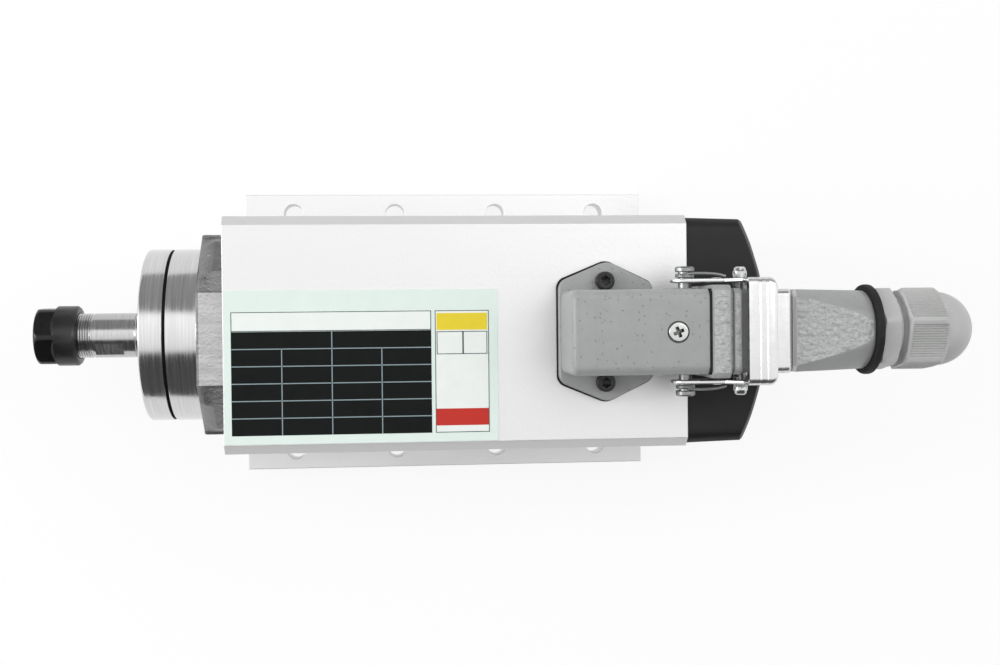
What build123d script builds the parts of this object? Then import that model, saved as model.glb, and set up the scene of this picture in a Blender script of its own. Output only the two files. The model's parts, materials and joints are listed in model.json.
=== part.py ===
from build123d import *
import os
from math import cos, radians, sin, sqrt, tan

os.makedirs("parts", exist_ok=True)

# Motor spindle with a collet nose, a square extruded body on a mounting flange, and a plug
# connector on its back. Millimetres. x runs along the spindle with the nose towards -x, and z is
# up from the mounting face, which lies at z = 0. The origin is the middle of the mounting holes.
# A station is a distance along x from the body's front face, positive towards the rear.

# Clearances and small faces
fit_gap = 0.05             # between pieces that seat in each other and don't move
running_gap = 0.05         # radial, between a shaft, pin or thread and what turns on it
free_gap = 0.3             # between pieces that pass each other without touching
shank_sides = 8            # hidden screw shanks and their tapped holes are eight-sided
hidden_sides = 24          # hidden round pieces have this many flats
outer_sides = 48           # and some outer ones this many

# Body: a square aluminium extrusion with a mounting flange along its underside
body_width = 70.0
body_length = 138.0
body_chamfer = 2.7
flange_width = 95.0
flange_thickness = 8.0
mounting_hole = 6.5
mounting_pitch = 35.0
mounting_hole_inset = 6.5
mounting_holes_per_side = 4
body_wall = 7.0            # between the stator's bore and the body's sides
air_channel = 7.0
air_channel_inset = 6.0

# Tie bolts through the cover, the rear shield and the body into the front shield
tie_bolt = 4.0
tie_bolt_offset = 22.3
tie_bolt_head = 7.0
tie_bolt_head_height = 2.8
tie_bolt_reach = 5.5
tapped_tip = 0.5           # how much deeper a tapped hole is than its screw

# Front end shield casting with its turned nose
casting_inset = 3.5
casting_corner_cut = 11.7
casting_thickness = 8.3
cast_pad_width = 27.7
cast_pad_height = 0.5
nose_diameter = 54.0
nose_length = 10.7
spigot_length = 5.0

# Front bearing cap
cap_thickness = 6.7
cap_lip_gap = 0.8
spanner_hole = 4.0
spanner_hole_depth = 3.0
spanner_hole_circle = 37.0

# Ball bearings of one bore and diameter: a double-row one in front and a single one behind
bearing_bore = 15.0
bearing_diameter = 32.0
front_bearing_width = 18.0
rear_bearing_width = 9.0
bearing_ring_thickness = 1.9
inner_ring_inset = 0.4
ball_row_share = 0.62      # width of a ball set as a share of its bearing's width
balls_per_row = 9
rear_bearing_inset = 12.0
preload_spring_room = 2.0
preload_spring_sides = 12

# Shaft
nose_shaft_diameter = 14.0
nose_shaft_start = -30.2
wrench_flat_size = 13.0
wrench_flat_end = -34.0
wrench_flat_length = 8.6
wrench_flat_turn = 45.0    # degrees that the flats lie off the sides
shaft_tip = -58.2
rotor_seat_diameter = 18.0
tool_clear_bore = 7.0
tool_clear_depth = 40.0
fan_seat_diameter = 8.0
shaft_end_inset = 0.5

# Collet and its nut
collet_length = 18.0
collet_diameter = 11.3
collet_taper = 8.0
collet_face_radius = 4.1
collet_bevel = 30.0
collet_collar_radius = 5.3
collet_groove_radius = 4.7
collet_groove_width = 1.0
collet_bore = 6.0
collet_slits = 4           # as many from each end
collet_slit_width = 0.6
collet_slit_land = 2.5
collet_face_inset = 0.2
nut_back = -49.1
nut_length = 13.8
nut_diameter = 19.0
nut_across_flats = 17.0
nut_hex_length = 5.5
nut_run_out = 1.9
nut_cone_gap = 0.12
nut_edge_chamfer = 0.7

# Stator and rotor
stator_start = 36.0
stator_rear_room = 42.0    # from the stator's rear to the body's rear face
air_gap = 0.3
rotor_diameter = 29.8
stator_slots = 12
slot_width = 4.2
slot_inner_radius = 17.2
slot_outer_radius = 24.2
slot_opening = 1.4
slot_liner = 0.2
end_turn_length = 12.0
end_turn_lift = 2.0
rotor_bars = 14
bar_width = 2.2
bar_inner_radius = 10.6
bar_outer_radius = 13.9
end_ring_length = 5.0

# Rear end shield and fan
rear_flange_thickness = 5.5
rear_shaft_hole = 12.0
fan_diameter = 50.0
fan_offset = 8.5           # from the body's rear face
fan_length = 12.0
fan_hub_diameter = 18.0
fan_disc_thickness = 1.2
fan_blade_thickness = 1.4
fan_blade_inset = 1.0
fan_blades = 8

# Rear cover: tapered square moulding with a domed rear round a flat grille
cover_gap = 0.3
cover_edge_inset = 0.7
cover_taper = 1.5
cover_wall = 2.4
cover_reach = 27.8         # from the body's rear face
grille_radius = 24.0
dome_shoulder_radius = 37.0
dome_shoulder_drop = 5.4
dome_corner_radius = 50.0
dome_corner_drop = 13.4
cover_square_depth = 10.7
grille_thickness = 4.8
fan_room = 53.0
pillar_width = 10.0
bolt_recess = 8.6
bolt_recess_depth = 8.6
cover_slots = 7
cover_slot_width = 2.4
cover_slot_pitch = 5.2
cover_slot_circle = 42.0

# Connector base on the body's back
connector_height = 49.5    # connector axis above the spindle axis
gasket_thickness = 0.5
base_flange_thickness = 3.5
base_front_width = 29.0
base_ear_width = 41.2
base_rear_width = 28.4
base_screw_inset = 26.0     # from the body's rear face
base_front_reach = 14.2     # from the screws, as are the next three
base_rear_reach = 14.6
tube_front_reach = 13.4
lead_reach = 2.0
tube_length = 39.6
base_screw_spacing = 30.0
small_screw = 3.0
small_screw_head = 5.5
small_screw_head_height = 3.0
small_screw_length = 9.0
tube_width = 24.3
tube_height = 25.0
tube_wall = 2.0
tube_corner = 2.4
lead_opening = 12.0
insert_screw_inset = 9.2   # from the tube's mouth
insert_screw_head = 5.6
insert_screw_recess = 6.3
insert_screw_recess_depth = 1.3
insert_screw_length = 7.0
insert_length = 19.4
insert_inset = 0.8
insert_gap = 0.3
socket_contact = 2.6
contact_spacing = 9.0
contact_overhang = 1.0
pin_contact = 1.4
lead_thickness = 1.6
lead_offset = 2.5
lead_start_height = 25.0

# Latch lever with its pivot pins and springs
pivot_inset = 4.4          # from the tube's mouth
pivot_boss = 7.0
pivot_boss_height = 0.4
pivot_pin = 4.0
pivot_head = 5.7
pivot_head_thickness = 1.6
pivot_neck = 2.0
lever_thickness = 1.2
lever_inner_width = 28.0
lever_eye_radius = 4.3
lever_arm_low = -3.9
lever_arm_high = 4.6
lever_bridge_reach = 14.6  # from the pivot
lever_bridge_length = 8.0
lever_bridge_under = 14.2
lever_step_height = 0.9
lever_step_one = 3.3
lever_step_two = 5.2
tab_length = 5.2
tab_width = 23.8
tab_drop = 1.6
notch_gap = 0.3
notch_front_gap = 1.0      # lets the notch swing off the hood's peg
spring_wire = 0.8
spring_coil_radius = 3.1
spring_leg_reach = 11.4
spring_bend_reach = 8.2
spring_rise = 1.2

# Plug hood
hood_seal_thickness = 0.8
hood_collar_length = 5.0
hood_collar_width = 26.4
hood_band_offset = 6.0     # from the hood's front, as are the next four
hood_face_offset = 23.3
hood_length = 47.6
hood_peg_offset = 10.9
hood_cavity_depth = 29.0
hood_band_length = 2.3
hood_band_width = 24.4
hood_waist_width = 23.6
hood_body_width = 23.5
hood_body_end_width = 22.7
hood_flat_width = 19.8
hood_flat_end_width = 5.0
hood_wall = 2.2
hood_recess = 1.4
hood_corner = 1.5
hood_peg_height = 0.5
hood_peg = 4.3
hood_peg_reach = 18.6
pin_insert_length = 17.0
pin_contact_length = 30.0
pin_contact_reach = 14.2   # into the base's tube

# Cable gland
gland_thread = 20.0
gland_thread_length = 9.0
gland_washer_diameter = 26.4
gland_washer_thickness = 2.3
gland_across_flats = 22.0
gland_hex_length = 5.6
gland_neck_diameter = 19.0
gland_neck_length = 11.2
gland_turn = 9.0           # degrees that a hex corner lies off the top
gland_bore = 13.0
gland_nut_gap = 2.2
gland_nut_hex_length = 11.8
gland_dome_radius = 10.9
gland_dome_sides = 36
gland_dome_step = 21.0     # degrees between the dome's edges
gland_exit = 9.5
gland_seal_bore = 8.0
gland_seal_length = 15.0
gland_seal_overhang = 1.0

# Data plate on the body's back
plate_start = 0.3
plate_length = 80.2
plate_width = 42.6
plate_sideways = -8.2
plate_thickness = 0.3

# Places that follow from the sizes above
axis_height = flange_thickness + body_width / 2
front_face_x = -body_length / 2
mounting_row_spacing = flange_width - 2 * mounting_hole_inset
stator_bore = body_width - 2 * body_wall
air_channel_offset = body_width / 2 - air_channel_inset
casting_width = body_width - 2 * casting_inset
nose_front = -casting_thickness - nose_length
cap_back = nose_front
cap_front = nose_front - cap_thickness
bearing_shoulder = nose_front + front_bearing_width
rear_bearing = body_length - rear_bearing_inset
rear_bearing_end = rear_bearing + rear_bearing_width
rear_flange_end = body_length + rear_flange_thickness
cover_front = body_length + cover_gap
cover_end = body_length + cover_reach
bolt_recess_floor = cover_end - bolt_recess_depth
fan_start = body_length + fan_offset
fan_end = fan_start + fan_length
body_top = axis_height + body_width / 2
base_floor = body_top + gasket_thickness
base_flange_top = base_floor + base_flange_thickness
connector_axis_z = axis_height + connector_height
nut_front = nut_back - nut_length
collet_front = nut_front + collet_face_inset
stator_end = body_length - stator_rear_room
stack_length = stator_end - stator_start
base_screw_station = body_length - base_screw_inset
tube_front = base_screw_station - tube_front_reach
tube_mouth = tube_front + tube_length
insert_screw_station = tube_mouth - insert_screw_inset
insert_back = tube_mouth - insert_inset
insert_front = insert_back - insert_length
lead_station = base_screw_station - lead_reach
pivot_station = tube_mouth - pivot_inset
hood_front = tube_mouth + hood_seal_thickness
hood_band_start = hood_front + hood_band_offset
hood_face_start = hood_front + hood_face_offset
hood_end = hood_front + hood_length
hood_peg_station = hood_front + hood_peg_offset
hood_cavity_end = hood_front + hood_cavity_depth
pin_contact_front = tube_mouth - pin_contact_reach
hidden_reach = cos(radians(180 / hidden_sides))
spindle = Plane(origin=(front_face_x, 0, axis_height), x_dir=(1, 0, 0), z_dir=(0, -1, 0))
from_start = (Align.CENTER, Align.CENTER, Align.MIN)
to_start = (Align.CENTER, Align.CENTER, Align.MAX)


def across(station, height=0.0, sideways=0.0, turn=0.0):
    """Plane square to the spindle, facing the rear: its x is +y and its y is +z, turned by degrees."""
    place = (front_face_x + station, sideways, axis_height + height)
    return Plane(origin=place, x_dir=(0, cos(radians(turn)), sin(radians(turn))), z_dir=(1, 0, 0))


def level(height, station=0.0, sideways=0.0):
    """Level plane at a height above the mounting face, its origin over a station."""
    return Plane(origin=(front_face_x + station, sideways, height))


def upright(station, sideways, height):
    """Plane facing -y: its x is +x and its y is +z."""
    place = (front_face_x + station, sideways, height)
    return Plane(origin=place, x_dir=(1, 0, 0), z_dir=(0, -1, 0))


def turned(*outline, mode=Mode.ADD):
    """Closed outline of (station, radius) points turned about the spindle axis."""
    with BuildSketch(spindle) as profile:
        with BuildLine():
            Polyline(*outline, close=True)
        make_face()
    revolve(profile.sketch, axis=Axis(spindle.origin, spindle.x_dir), mode=mode)


def flat_ring(start, end, inner, outer, sides=hidden_sides):
    """Ring with flat sides: its inner flats lie at one radius and its outer corners at the other."""
    with BuildSketch(across(start)) as section:
        RegularPolygon(outer, sides)
        RegularPolygon(inner, sides, major_radius=False, mode=Mode.SUBTRACT)
    extrude(section.sketch, amount=end - start)


def bar(start, end, radius, height=0.0, sideways=0.0, mode=Mode.ADD):
    """Round bar along the spindle between two stations."""
    with Locations(across(start, height, sideways)):
        Cylinder(radius, end - start, align=from_start, mode=mode)


def flat_sided(start, end, radius, sides=hidden_sides, height=0.0, sideways=0.0, turn=0.0, mode=Mode.ADD):
    """Bar with flat sides between two stations; the radius reaches the middles of its flats."""
    with BuildSketch(across(start, height, sideways, turn)) as section:
        RegularPolygon(radius, sides, major_radius=False)
    extrude(section.sketch, amount=end - start, mode=mode)


def skinned(*rings):
    """Solid with a flat face between each two neighbouring points of its rings."""
    faces = [Face(Wire.make_polygon(ring)) for ring in (rings[0], rings[-1])]
    for ring, next_ring in zip(rings, rings[1:]):
        for i in range(len(ring)):
            corners = [ring[i - 1], ring[i], next_ring[i], next_ring[i - 1]]
            faces.append(Face(Wire.make_polygon(corners)))
    return Solid(Shell(faces))


def tapered(*outline, sides=hidden_sides, height=0.0):
    """Bar with flat sides through (station, radius) points; the radii reach the middles of its flats."""
    rings = []
    for station, radius in outline:
        reach = radius / cos(radians(180 / sides))
        angles = [radians(360 * i / sides) for i in range(sides)]
        plane = across(station, height)
        rings.append([plane.from_local_coords((reach * cos(a), reach * sin(a), 0)) for a in angles])
    return skinned(*rings)


def square_ring(station, half_width, corner, height=0.0):
    """Corners of a square with its four corners cut off."""
    plane = across(station, height)
    points = []
    for across_sign, up_sign in ((1, 1), (-1, 1), (-1, -1), (1, -1)):
        side_point = (across_sign * half_width, up_sign * (half_width - corner), 0)
        top_point = (across_sign * (half_width - corner), up_sign * half_width, 0)
        pair = (side_point, top_point) if across_sign == up_sign else (top_point, side_point)
        points += [plane.from_local_coords(point) for point in pair]
    return points


def block(start, end, width, low, high, corner=0.0, mode=Mode.ADD):
    """Box along the spindle between two heights above the mounting face, its long edges cut by corner."""
    with BuildSketch(across(start, (low + high) / 2 - axis_height)) as section:
        Rectangle(width, high - low)
        if corner:
            chamfer(section.vertices(), corner)
    extrude(section.sketch, amount=end - start, mode=mode)


def tie_bolt_holes(start, end):
    for sideways in (-tie_bolt_offset, tie_bolt_offset):
        for height in (-tie_bolt_offset, tie_bolt_offset):
            flat_sided(start, end, tie_bolt / 2 + fit_gap, shank_sides, height, sideways, mode=Mode.SUBTRACT)


def finish(piece, name):
    piece.part.label = name
    export_step(piece.part, f"parts/{name}.step")


# Body extrusion, with the bore for the stator, four air channels and four bolt channels
with BuildPart() as body_extrusion:
    with BuildSketch(across(0)) as body_section:
        Rectangle(body_width, body_width)
        chamfer(body_section.vertices(), body_chamfer)
        with Locations((0, -body_width / 2)):
            Rectangle(flange_width, flange_thickness, align=(Align.CENTER, Align.MAX))
            Rectangle(body_width, body_chamfer, align=(Align.CENTER, Align.MIN))
        Circle(stator_bore / 2, mode=Mode.SUBTRACT)
        with GridLocations(2 * air_channel_offset, 2 * air_channel_offset, 2, 2):
            Rectangle(air_channel, air_channel, mode=Mode.SUBTRACT)
    extrude(amount=body_length)
    tie_bolt_holes(0, body_length)
    with Locations(level(flange_thickness, body_length / 2)):
        with GridLocations(mounting_pitch, mounting_row_spacing, mounting_holes_per_side, 2):
            Hole(mounting_hole / 2, depth=flange_thickness)
    with BuildSketch(level(axis_height, base_screw_station)) as lead_cut:
        Rectangle(lead_opening, lead_opening)
    extrude(amount=body_width / 2, mode=Mode.SUBTRACT)
    with BuildSketch(level(body_top, base_screw_station)) as tapped_holes:
        with GridLocations(1, base_screw_spacing, 1, 2):
            RegularPolygon(small_screw / 2 + fit_gap, shank_sides, major_radius=False)
    extrude(amount=base_flange_thickness - small_screw_length - tapped_tip, mode=Mode.SUBTRACT)
finish(body_extrusion, "body_extrusion")


def shield_plate(start, thickness):
    """Square casting plate with its four corners cut off."""
    with BuildSketch(across(start)) as section:
        Rectangle(casting_width, casting_width)
        chamfer(section.vertices(), casting_corner_cut)
    extrude(section.sketch, amount=thickness)


# Front end shield: casting with a pad on each side, turned nose, spigot and bearing seat
bearing_bore_radius = bearing_diameter / 2
bearing_lip_radius = bearing_bore_radius - bearing_ring_thickness
spigot_radius = (stator_bore / 2 - fit_gap) * hidden_reach
with BuildPart() as front_end_shield:
    shield_plate(-casting_thickness, casting_thickness)
    pad_reach = casting_width / 2 + cast_pad_height
    block(-casting_thickness, 0, cast_pad_width, axis_height - pad_reach, axis_height + pad_reach)
    block(-casting_thickness, 0, 2 * pad_reach, axis_height - cast_pad_width / 2,
          axis_height + cast_pad_width / 2)
    bar(nose_front, -casting_thickness, nose_diameter / 2)
    flat_sided(0, spigot_length, spigot_radius)
    flat_sided(nose_front, bearing_shoulder, bearing_bore_radius, mode=Mode.SUBTRACT)
    flat_sided(bearing_shoulder, spigot_length, bearing_lip_radius, mode=Mode.SUBTRACT)
    tie_bolt_holes(-tie_bolt_reach - tapped_tip, 0)
finish(front_end_shield, "front_end_shield")

# Threaded cap over the front bearing, with four holes in its face for a pin spanner
lip_radius = bearing_bore / 2 + cap_lip_gap
with BuildPart() as front_bearing_cap:
    turned(
        (cap_front, lip_radius),
        (cap_back, lip_radius),
        (cap_back, nose_diameter / 2),
        (cap_front, nose_diameter / 2),
    )
    with BuildSketch(across(cap_front)) as spanner_holes:
        with PolarLocations(spanner_hole_circle / 2, 4):
            RegularPolygon(spanner_hole / 2, 2 * shank_sides)
    extrude(amount=spanner_hole_depth, mode=Mode.SUBTRACT)
finish(front_bearing_cap, "front_bearing_cap")

# Bearings: outer rings in the shields, inner rings on the shaft, ball sets between them
inner_ring_radius = bearing_bore / 2 + fit_gap
outer_ring_radius = bearing_bore_radius - fit_gap
bearings = ((nose_front, bearing_shoulder), (rear_bearing, rear_bearing_end))
with BuildPart() as bearing_outer_rings:
    for start, end in bearings:
        flat_ring(start, end, outer_ring_radius - bearing_ring_thickness, outer_ring_radius)
finish(bearing_outer_rings, "bearing_outer_rings")

with BuildPart() as bearing_inner_rings:
    for start, end in bearings:
        flat_ring(start + inner_ring_inset, end, inner_ring_radius, inner_ring_radius + bearing_ring_thickness)
finish(bearing_inner_rings, "bearing_inner_rings")

ball_inner_radius = inner_ring_radius + bearing_ring_thickness + running_gap
ball_outer_radius = outer_ring_radius - bearing_ring_thickness - running_gap
with BuildPart() as ball_sets:
    for start, end in bearings:
        inset = (1 - ball_row_share) * (end - start) / 2
        flat_ring(start + inset, end - inset, ball_inner_radius, ball_outer_radius, 2 * balls_per_row)
finish(ball_sets, "ball_sets")

# Shaft: collet socket in the nose, wrench flats, bearing seats, rotor seat and fan seat
taper = tan(radians(collet_taper))
bevel = tan(radians(collet_bevel))
collar_end = collet_front + (collet_collar_radius - collet_face_radius) / bevel
collet_cone_start = collar_end + collet_groove_width
socket_radius = collet_diameter / 2 + fit_gap - taper * (shaft_tip - collet_cone_start)
socket_end = shaft_tip + (socket_radius - tool_clear_bore / 2) / taper
shaft_end = fan_end - shaft_end_inset
with BuildPart() as shaft:
    turned(
        (shaft_tip, socket_radius),
        (shaft_tip, nose_shaft_diameter / 2),
        (nose_shaft_start, nose_shaft_diameter / 2),
        (nose_shaft_start, bearing_bore / 2),
        (bearing_shoulder, bearing_bore / 2),
        (bearing_shoulder, 0),
        (shaft_tip + tool_clear_depth, 0),
        (shaft_tip + tool_clear_depth, tool_clear_bore / 2),
        (socket_end, tool_clear_bore / 2),
    )
    for turn in (wrench_flat_turn, wrench_flat_turn + 180):
        with BuildSketch(across(wrench_flat_end - wrench_flat_length, turn=turn)) as flat:
            with Locations((wrench_flat_size / 2, 0)):
                Rectangle(nose_shaft_diameter, 2 * nose_shaft_diameter, align=(Align.MIN, Align.CENTER))
        extrude(amount=wrench_flat_length, mode=Mode.SUBTRACT)
    flat_sided(bearing_shoulder, rear_bearing, rotor_seat_diameter / 2 * hidden_reach)
    flat_sided(rear_bearing, rear_bearing_end, bearing_bore / 2 * hidden_reach)
    flat_sided(rear_bearing_end, shaft_end, fan_seat_diameter / 2 * hidden_reach)
finish(shaft, "shaft")

# Collet: slit sleeve with a slender taper, a front bevel and the groove behind its collar
collet_end = collet_front + collet_length
collet_end_radius = collet_diameter / 2 - taper * (collet_end - collet_cone_start)
with BuildPart() as collet:
    add(tapered((collet_front, collet_face_radius), (collar_end, collet_collar_radius)))
    flat_sided(collar_end, collet_cone_start, collet_groove_radius)
    add(tapered((collet_cone_start, collet_diameter / 2 * hidden_reach),
                (collet_end, collet_end_radius * hidden_reach)))
    bar(collet_front, collet_end, collet_bore / 2, mode=Mode.SUBTRACT)
    slit_depth = collet_length - collet_slit_land
    for slit in range(2 * collet_slits):
        start = collet_front if slit % 2 else collet_end - slit_depth
        with BuildSketch(across(start, turn=slit * 180 / collet_slits)) as slit_section:
            Rectangle(collet_diameter, collet_slit_width, align=(Align.MIN, Align.CENTER))
        extrude(amount=slit_depth, mode=Mode.SUBTRACT)
finish(collet, "collet")

# Collet nut: hexagon at the front, round behind, coned inside over the collet's bevel
nut_radius = nut_diameter / 2
hex_end = nut_front + nut_hex_length
nut_opening = collet_face_radius / hidden_reach + nut_cone_gap - collet_face_inset * bevel
with BuildPart() as collet_nut:
    flat_sided(nut_front, nut_back, nut_across_flats / 2, 6, turn=30)
    turned(
        (hex_end, 0),
        (hex_end, nut_across_flats / 2 - nut_edge_chamfer / 2),
        (hex_end + nut_run_out, nut_radius),
        (nut_back, nut_radius),
        (nut_back, 0),
    )
    turned(
        (nut_front, 0),
        (nut_front, nut_radius - nut_edge_chamfer),
        (nut_front + nut_edge_chamfer, nut_radius),
        (nut_back, nut_radius),
        (nut_back, 0),
        mode=Mode.INTERSECT,
    )
    turned(
        (nut_front, 0),
        (nut_front, nut_opening),
        (collar_end, collet_collar_radius / hidden_reach + nut_cone_gap),
        (collar_end, 0),
        mode=Mode.SUBTRACT,
    )
    flat_sided(collar_end, nut_back, nose_shaft_diameter / 2 + running_gap, mode=Mode.SUBTRACT)
finish(collet_nut, "collet_nut")

# Stator: laminated core with slots, and the winding in them with its end turns
slot_middle = (slot_inner_radius + slot_outer_radius) / 2
slot_depth = slot_outer_radius - slot_inner_radius
stator_inner_radius = rotor_diameter / 2 + air_gap
with BuildPart() as stator_core:
    with BuildSketch(across(stator_start)) as lamination:
        RegularPolygon(stator_bore / 2 - fit_gap, 2 * stator_slots)
        RegularPolygon(stator_inner_radius, 2 * stator_slots, major_radius=False, mode=Mode.SUBTRACT)
        with PolarLocations(slot_middle, stator_slots):
            Rectangle(slot_depth, slot_width, mode=Mode.SUBTRACT)
        with PolarLocations(stator_inner_radius - slot_opening, stator_slots):
            Rectangle(slot_depth, slot_opening, align=(Align.MIN, Align.CENTER), mode=Mode.SUBTRACT)
    extrude(amount=stack_length)
finish(stator_core, "stator_core")

with BuildPart() as stator_windings:
    with BuildSketch(across(stator_start - end_turn_length)) as slot_bars:
        with PolarLocations(slot_middle, stator_slots):
            Rectangle(slot_depth - 2 * slot_liner, slot_width - 2 * slot_liner)
    extrude(amount=stack_length + 2 * end_turn_length)
    for start in (stator_start - end_turn_length, stator_end + end_turn_lift):
        with BuildSketch(across(start)) as end_turns:
            RegularPolygon(slot_outer_radius, stator_slots, major_radius=False)
            RegularPolygon(slot_inner_radius, stator_slots, major_radius=False, mode=Mode.SUBTRACT)
        extrude(amount=end_turn_length - end_turn_lift)
finish(stator_windings, "stator_windings")

# Rotor: laminated core on the shaft, with the cast squirrel cage in its slots
bar_middle = (bar_inner_radius + bar_outer_radius) / 2
bar_depth = bar_outer_radius - bar_inner_radius
rotor_sides = 2 * rotor_bars
with BuildPart() as rotor_core:
    with BuildSketch(across(stator_start)) as rotor_lamination:
        RegularPolygon(rotor_diameter / 2, rotor_sides)
        RegularPolygon(rotor_seat_diameter / 2 + fit_gap, rotor_bars, major_radius=False, mode=Mode.SUBTRACT)
        with PolarLocations(bar_middle, rotor_bars):
            Rectangle(bar_depth, bar_width, mode=Mode.SUBTRACT)
    extrude(amount=stack_length)
finish(rotor_core, "rotor_core")

with BuildPart() as rotor_cage:
    with BuildSketch(across(stator_start)) as cage_bars:
        with PolarLocations(bar_middle, rotor_bars):
            Rectangle(bar_depth - 2 * fit_gap, bar_width - 2 * fit_gap)
    extrude(amount=stack_length)
    for start in (stator_start - end_ring_length, stator_end):
        with BuildSketch(across(start)) as end_ring:
            RegularPolygon(bar_outer_radius, rotor_bars, major_radius=False)
            RegularPolygon(bar_inner_radius, rotor_bars, major_radius=False, mode=Mode.SUBTRACT)
        extrude(amount=end_ring_length)
finish(rotor_cage, "rotor_cage")

# Rear end shield with the rear bearing's seat, and the spring that loads the bearing
spring_end = rear_bearing_end + preload_spring_room
with BuildPart() as rear_end_shield:
    shield_plate(body_length, rear_flange_thickness)
    flat_sided(rear_bearing, body_length, spigot_radius)
    flat_sided(rear_bearing, spring_end, bearing_bore_radius, mode=Mode.SUBTRACT)
    flat_sided(spring_end, rear_flange_end, rear_shaft_hole / 2, mode=Mode.SUBTRACT)
    tie_bolt_holes(body_length, rear_flange_end)
finish(rear_end_shield, "rear_end_shield")

with BuildPart() as preload_spring:
    flat_ring(rear_bearing_end, spring_end, bearing_lip_radius, outer_ring_radius, preload_spring_sides)
finish(preload_spring, "preload_spring")

# Cooling fan pressed on the shaft's tail
hub_radius = fan_hub_diameter / 2
with BuildPart() as fan:
    flat_sided(fan_start, fan_end, hub_radius)
    flat_sided(fan_start, fan_start + fan_disc_thickness, fan_diameter / 2 * hidden_reach)
    with BuildSketch(across(fan_start)) as blades:
        with PolarLocations(hub_radius - fan_blade_inset, fan_blades):
            Rectangle(fan_diameter / 2 - hub_radius, fan_blade_thickness, align=(Align.MIN, Align.CENTER))
    extrude(amount=fan_length - fan_blade_inset)
    flat_sided(fan_start, fan_end, fan_seat_diameter / 2 + fit_gap, 2 * shank_sides, mode=Mode.SUBTRACT)
finish(fan, "fan")

# Rear cover: a tapered square cut to a domed end, hollow over the fan, with a slotted flat grille
slot_places = [cover_slot_pitch * (i - (cover_slots - 1) / 2) for i in range(cover_slots)]
pocket_end = cover_end - grille_thickness
square_end = cover_front + cover_square_depth
pocket_half = body_width / 2 - cover_edge_inset - cover_wall
with BuildPart() as cover_hollow:
    block(cover_front, square_end, 2 * pocket_half, axis_height - pocket_half, axis_height + pocket_half,
          body_chamfer)
    for height in (-tie_bolt_offset, tie_bolt_offset):
        for sideways in (-tie_bolt_offset, tie_bolt_offset):
            flat_sided(rear_flange_end, square_end, pillar_width / 2, shank_sides, height, sideways,
                       mode=Mode.SUBTRACT)
    flat_sided(square_end, pocket_end, fan_room / 2, 8)
    with BuildSketch(across(pocket_end)) as slots:
        for height in slot_places:
            with Locations((0, height)):
                Rectangle(2 * sqrt((cover_slot_circle / 2) ** 2 - height ** 2), cover_slot_width)
    extrude(amount=grille_thickness)

dome_shoulder = cover_end - dome_shoulder_drop
dome_corner = cover_end - dome_corner_drop
cover_half_width = body_width / 2 - cover_edge_inset
cover_end_half_width = cover_half_width - (cover_end - cover_front) * tan(radians(cover_taper))
cover_corner = body_chamfer - cover_gap
with BuildPart() as rear_cover:
    add(skinned(square_ring(cover_front, cover_half_width, cover_corner),
                square_ring(cover_end, cover_end_half_width, cover_corner)))
    add(tapered((cover_front, dome_corner_radius), (dome_corner, dome_corner_radius),
                (dome_shoulder, dome_shoulder_radius), (cover_end, grille_radius), sides=outer_sides),
        mode=Mode.INTERSECT)
    add(cover_hollow.part, mode=Mode.SUBTRACT)
    tie_bolt_holes(rear_flange_end, bolt_recess_floor)
    for height in (-tie_bolt_offset, tie_bolt_offset):
        for sideways in (-tie_bolt_offset, tie_bolt_offset):
            flat_sided(bolt_recess_floor, cover_end, bolt_recess / 2, 2 * shank_sides, height, sideways,
                       mode=Mode.SUBTRACT)
finish(rear_cover, "rear_cover")

# Tie bolts with hexagon heads
with BuildPart() as tie_bolts:
    for height in (-tie_bolt_offset, tie_bolt_offset):
        for sideways in (-tie_bolt_offset, tie_bolt_offset):
            flat_sided(-tie_bolt_reach, bolt_recess_floor, tie_bolt / 2, shank_sides, height, sideways)
            flat_sided(bolt_recess_floor, bolt_recess_floor + tie_bolt_head_height, tie_bolt_head / 2, 6,
                       height, sideways)
finish(tie_bolts, "tie_bolts")

# Data plate: thin sheet glued to the back of the body
with BuildPart() as data_plate:
    with Locations(level(body_top, plate_start + plate_length / 2, plate_sideways)):
        Box(plate_length, plate_width, plate_thickness, align=from_start)
finish(data_plate, "data_plate")


def base_foot(bottom, thickness):
    """Six-sided foot of the connector base, with its screw holes and lead opening."""
    with BuildSketch(level(bottom, base_screw_station)) as foot:
        with BuildLine():
            Polyline(
                (-base_front_reach, -base_front_width / 2),
                (0, -base_ear_width / 2),
                (base_rear_reach, -base_rear_width / 2),
                (base_rear_reach, base_rear_width / 2),
                (0, base_ear_width / 2),
                (-base_front_reach, base_front_width / 2),
                close=True,
            )
        make_face()
        Rectangle(lead_opening, lead_opening, mode=Mode.SUBTRACT)
        with GridLocations(1, base_screw_spacing, 1, 2):
            RegularPolygon(small_screw / 2 + fit_gap, shank_sides, major_radius=False, mode=Mode.SUBTRACT)
    extrude(foot.sketch, amount=thickness)


with BuildPart() as connector_gasket:
    base_foot(body_top, gasket_thickness)
finish(connector_gasket, "connector_gasket")

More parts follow.
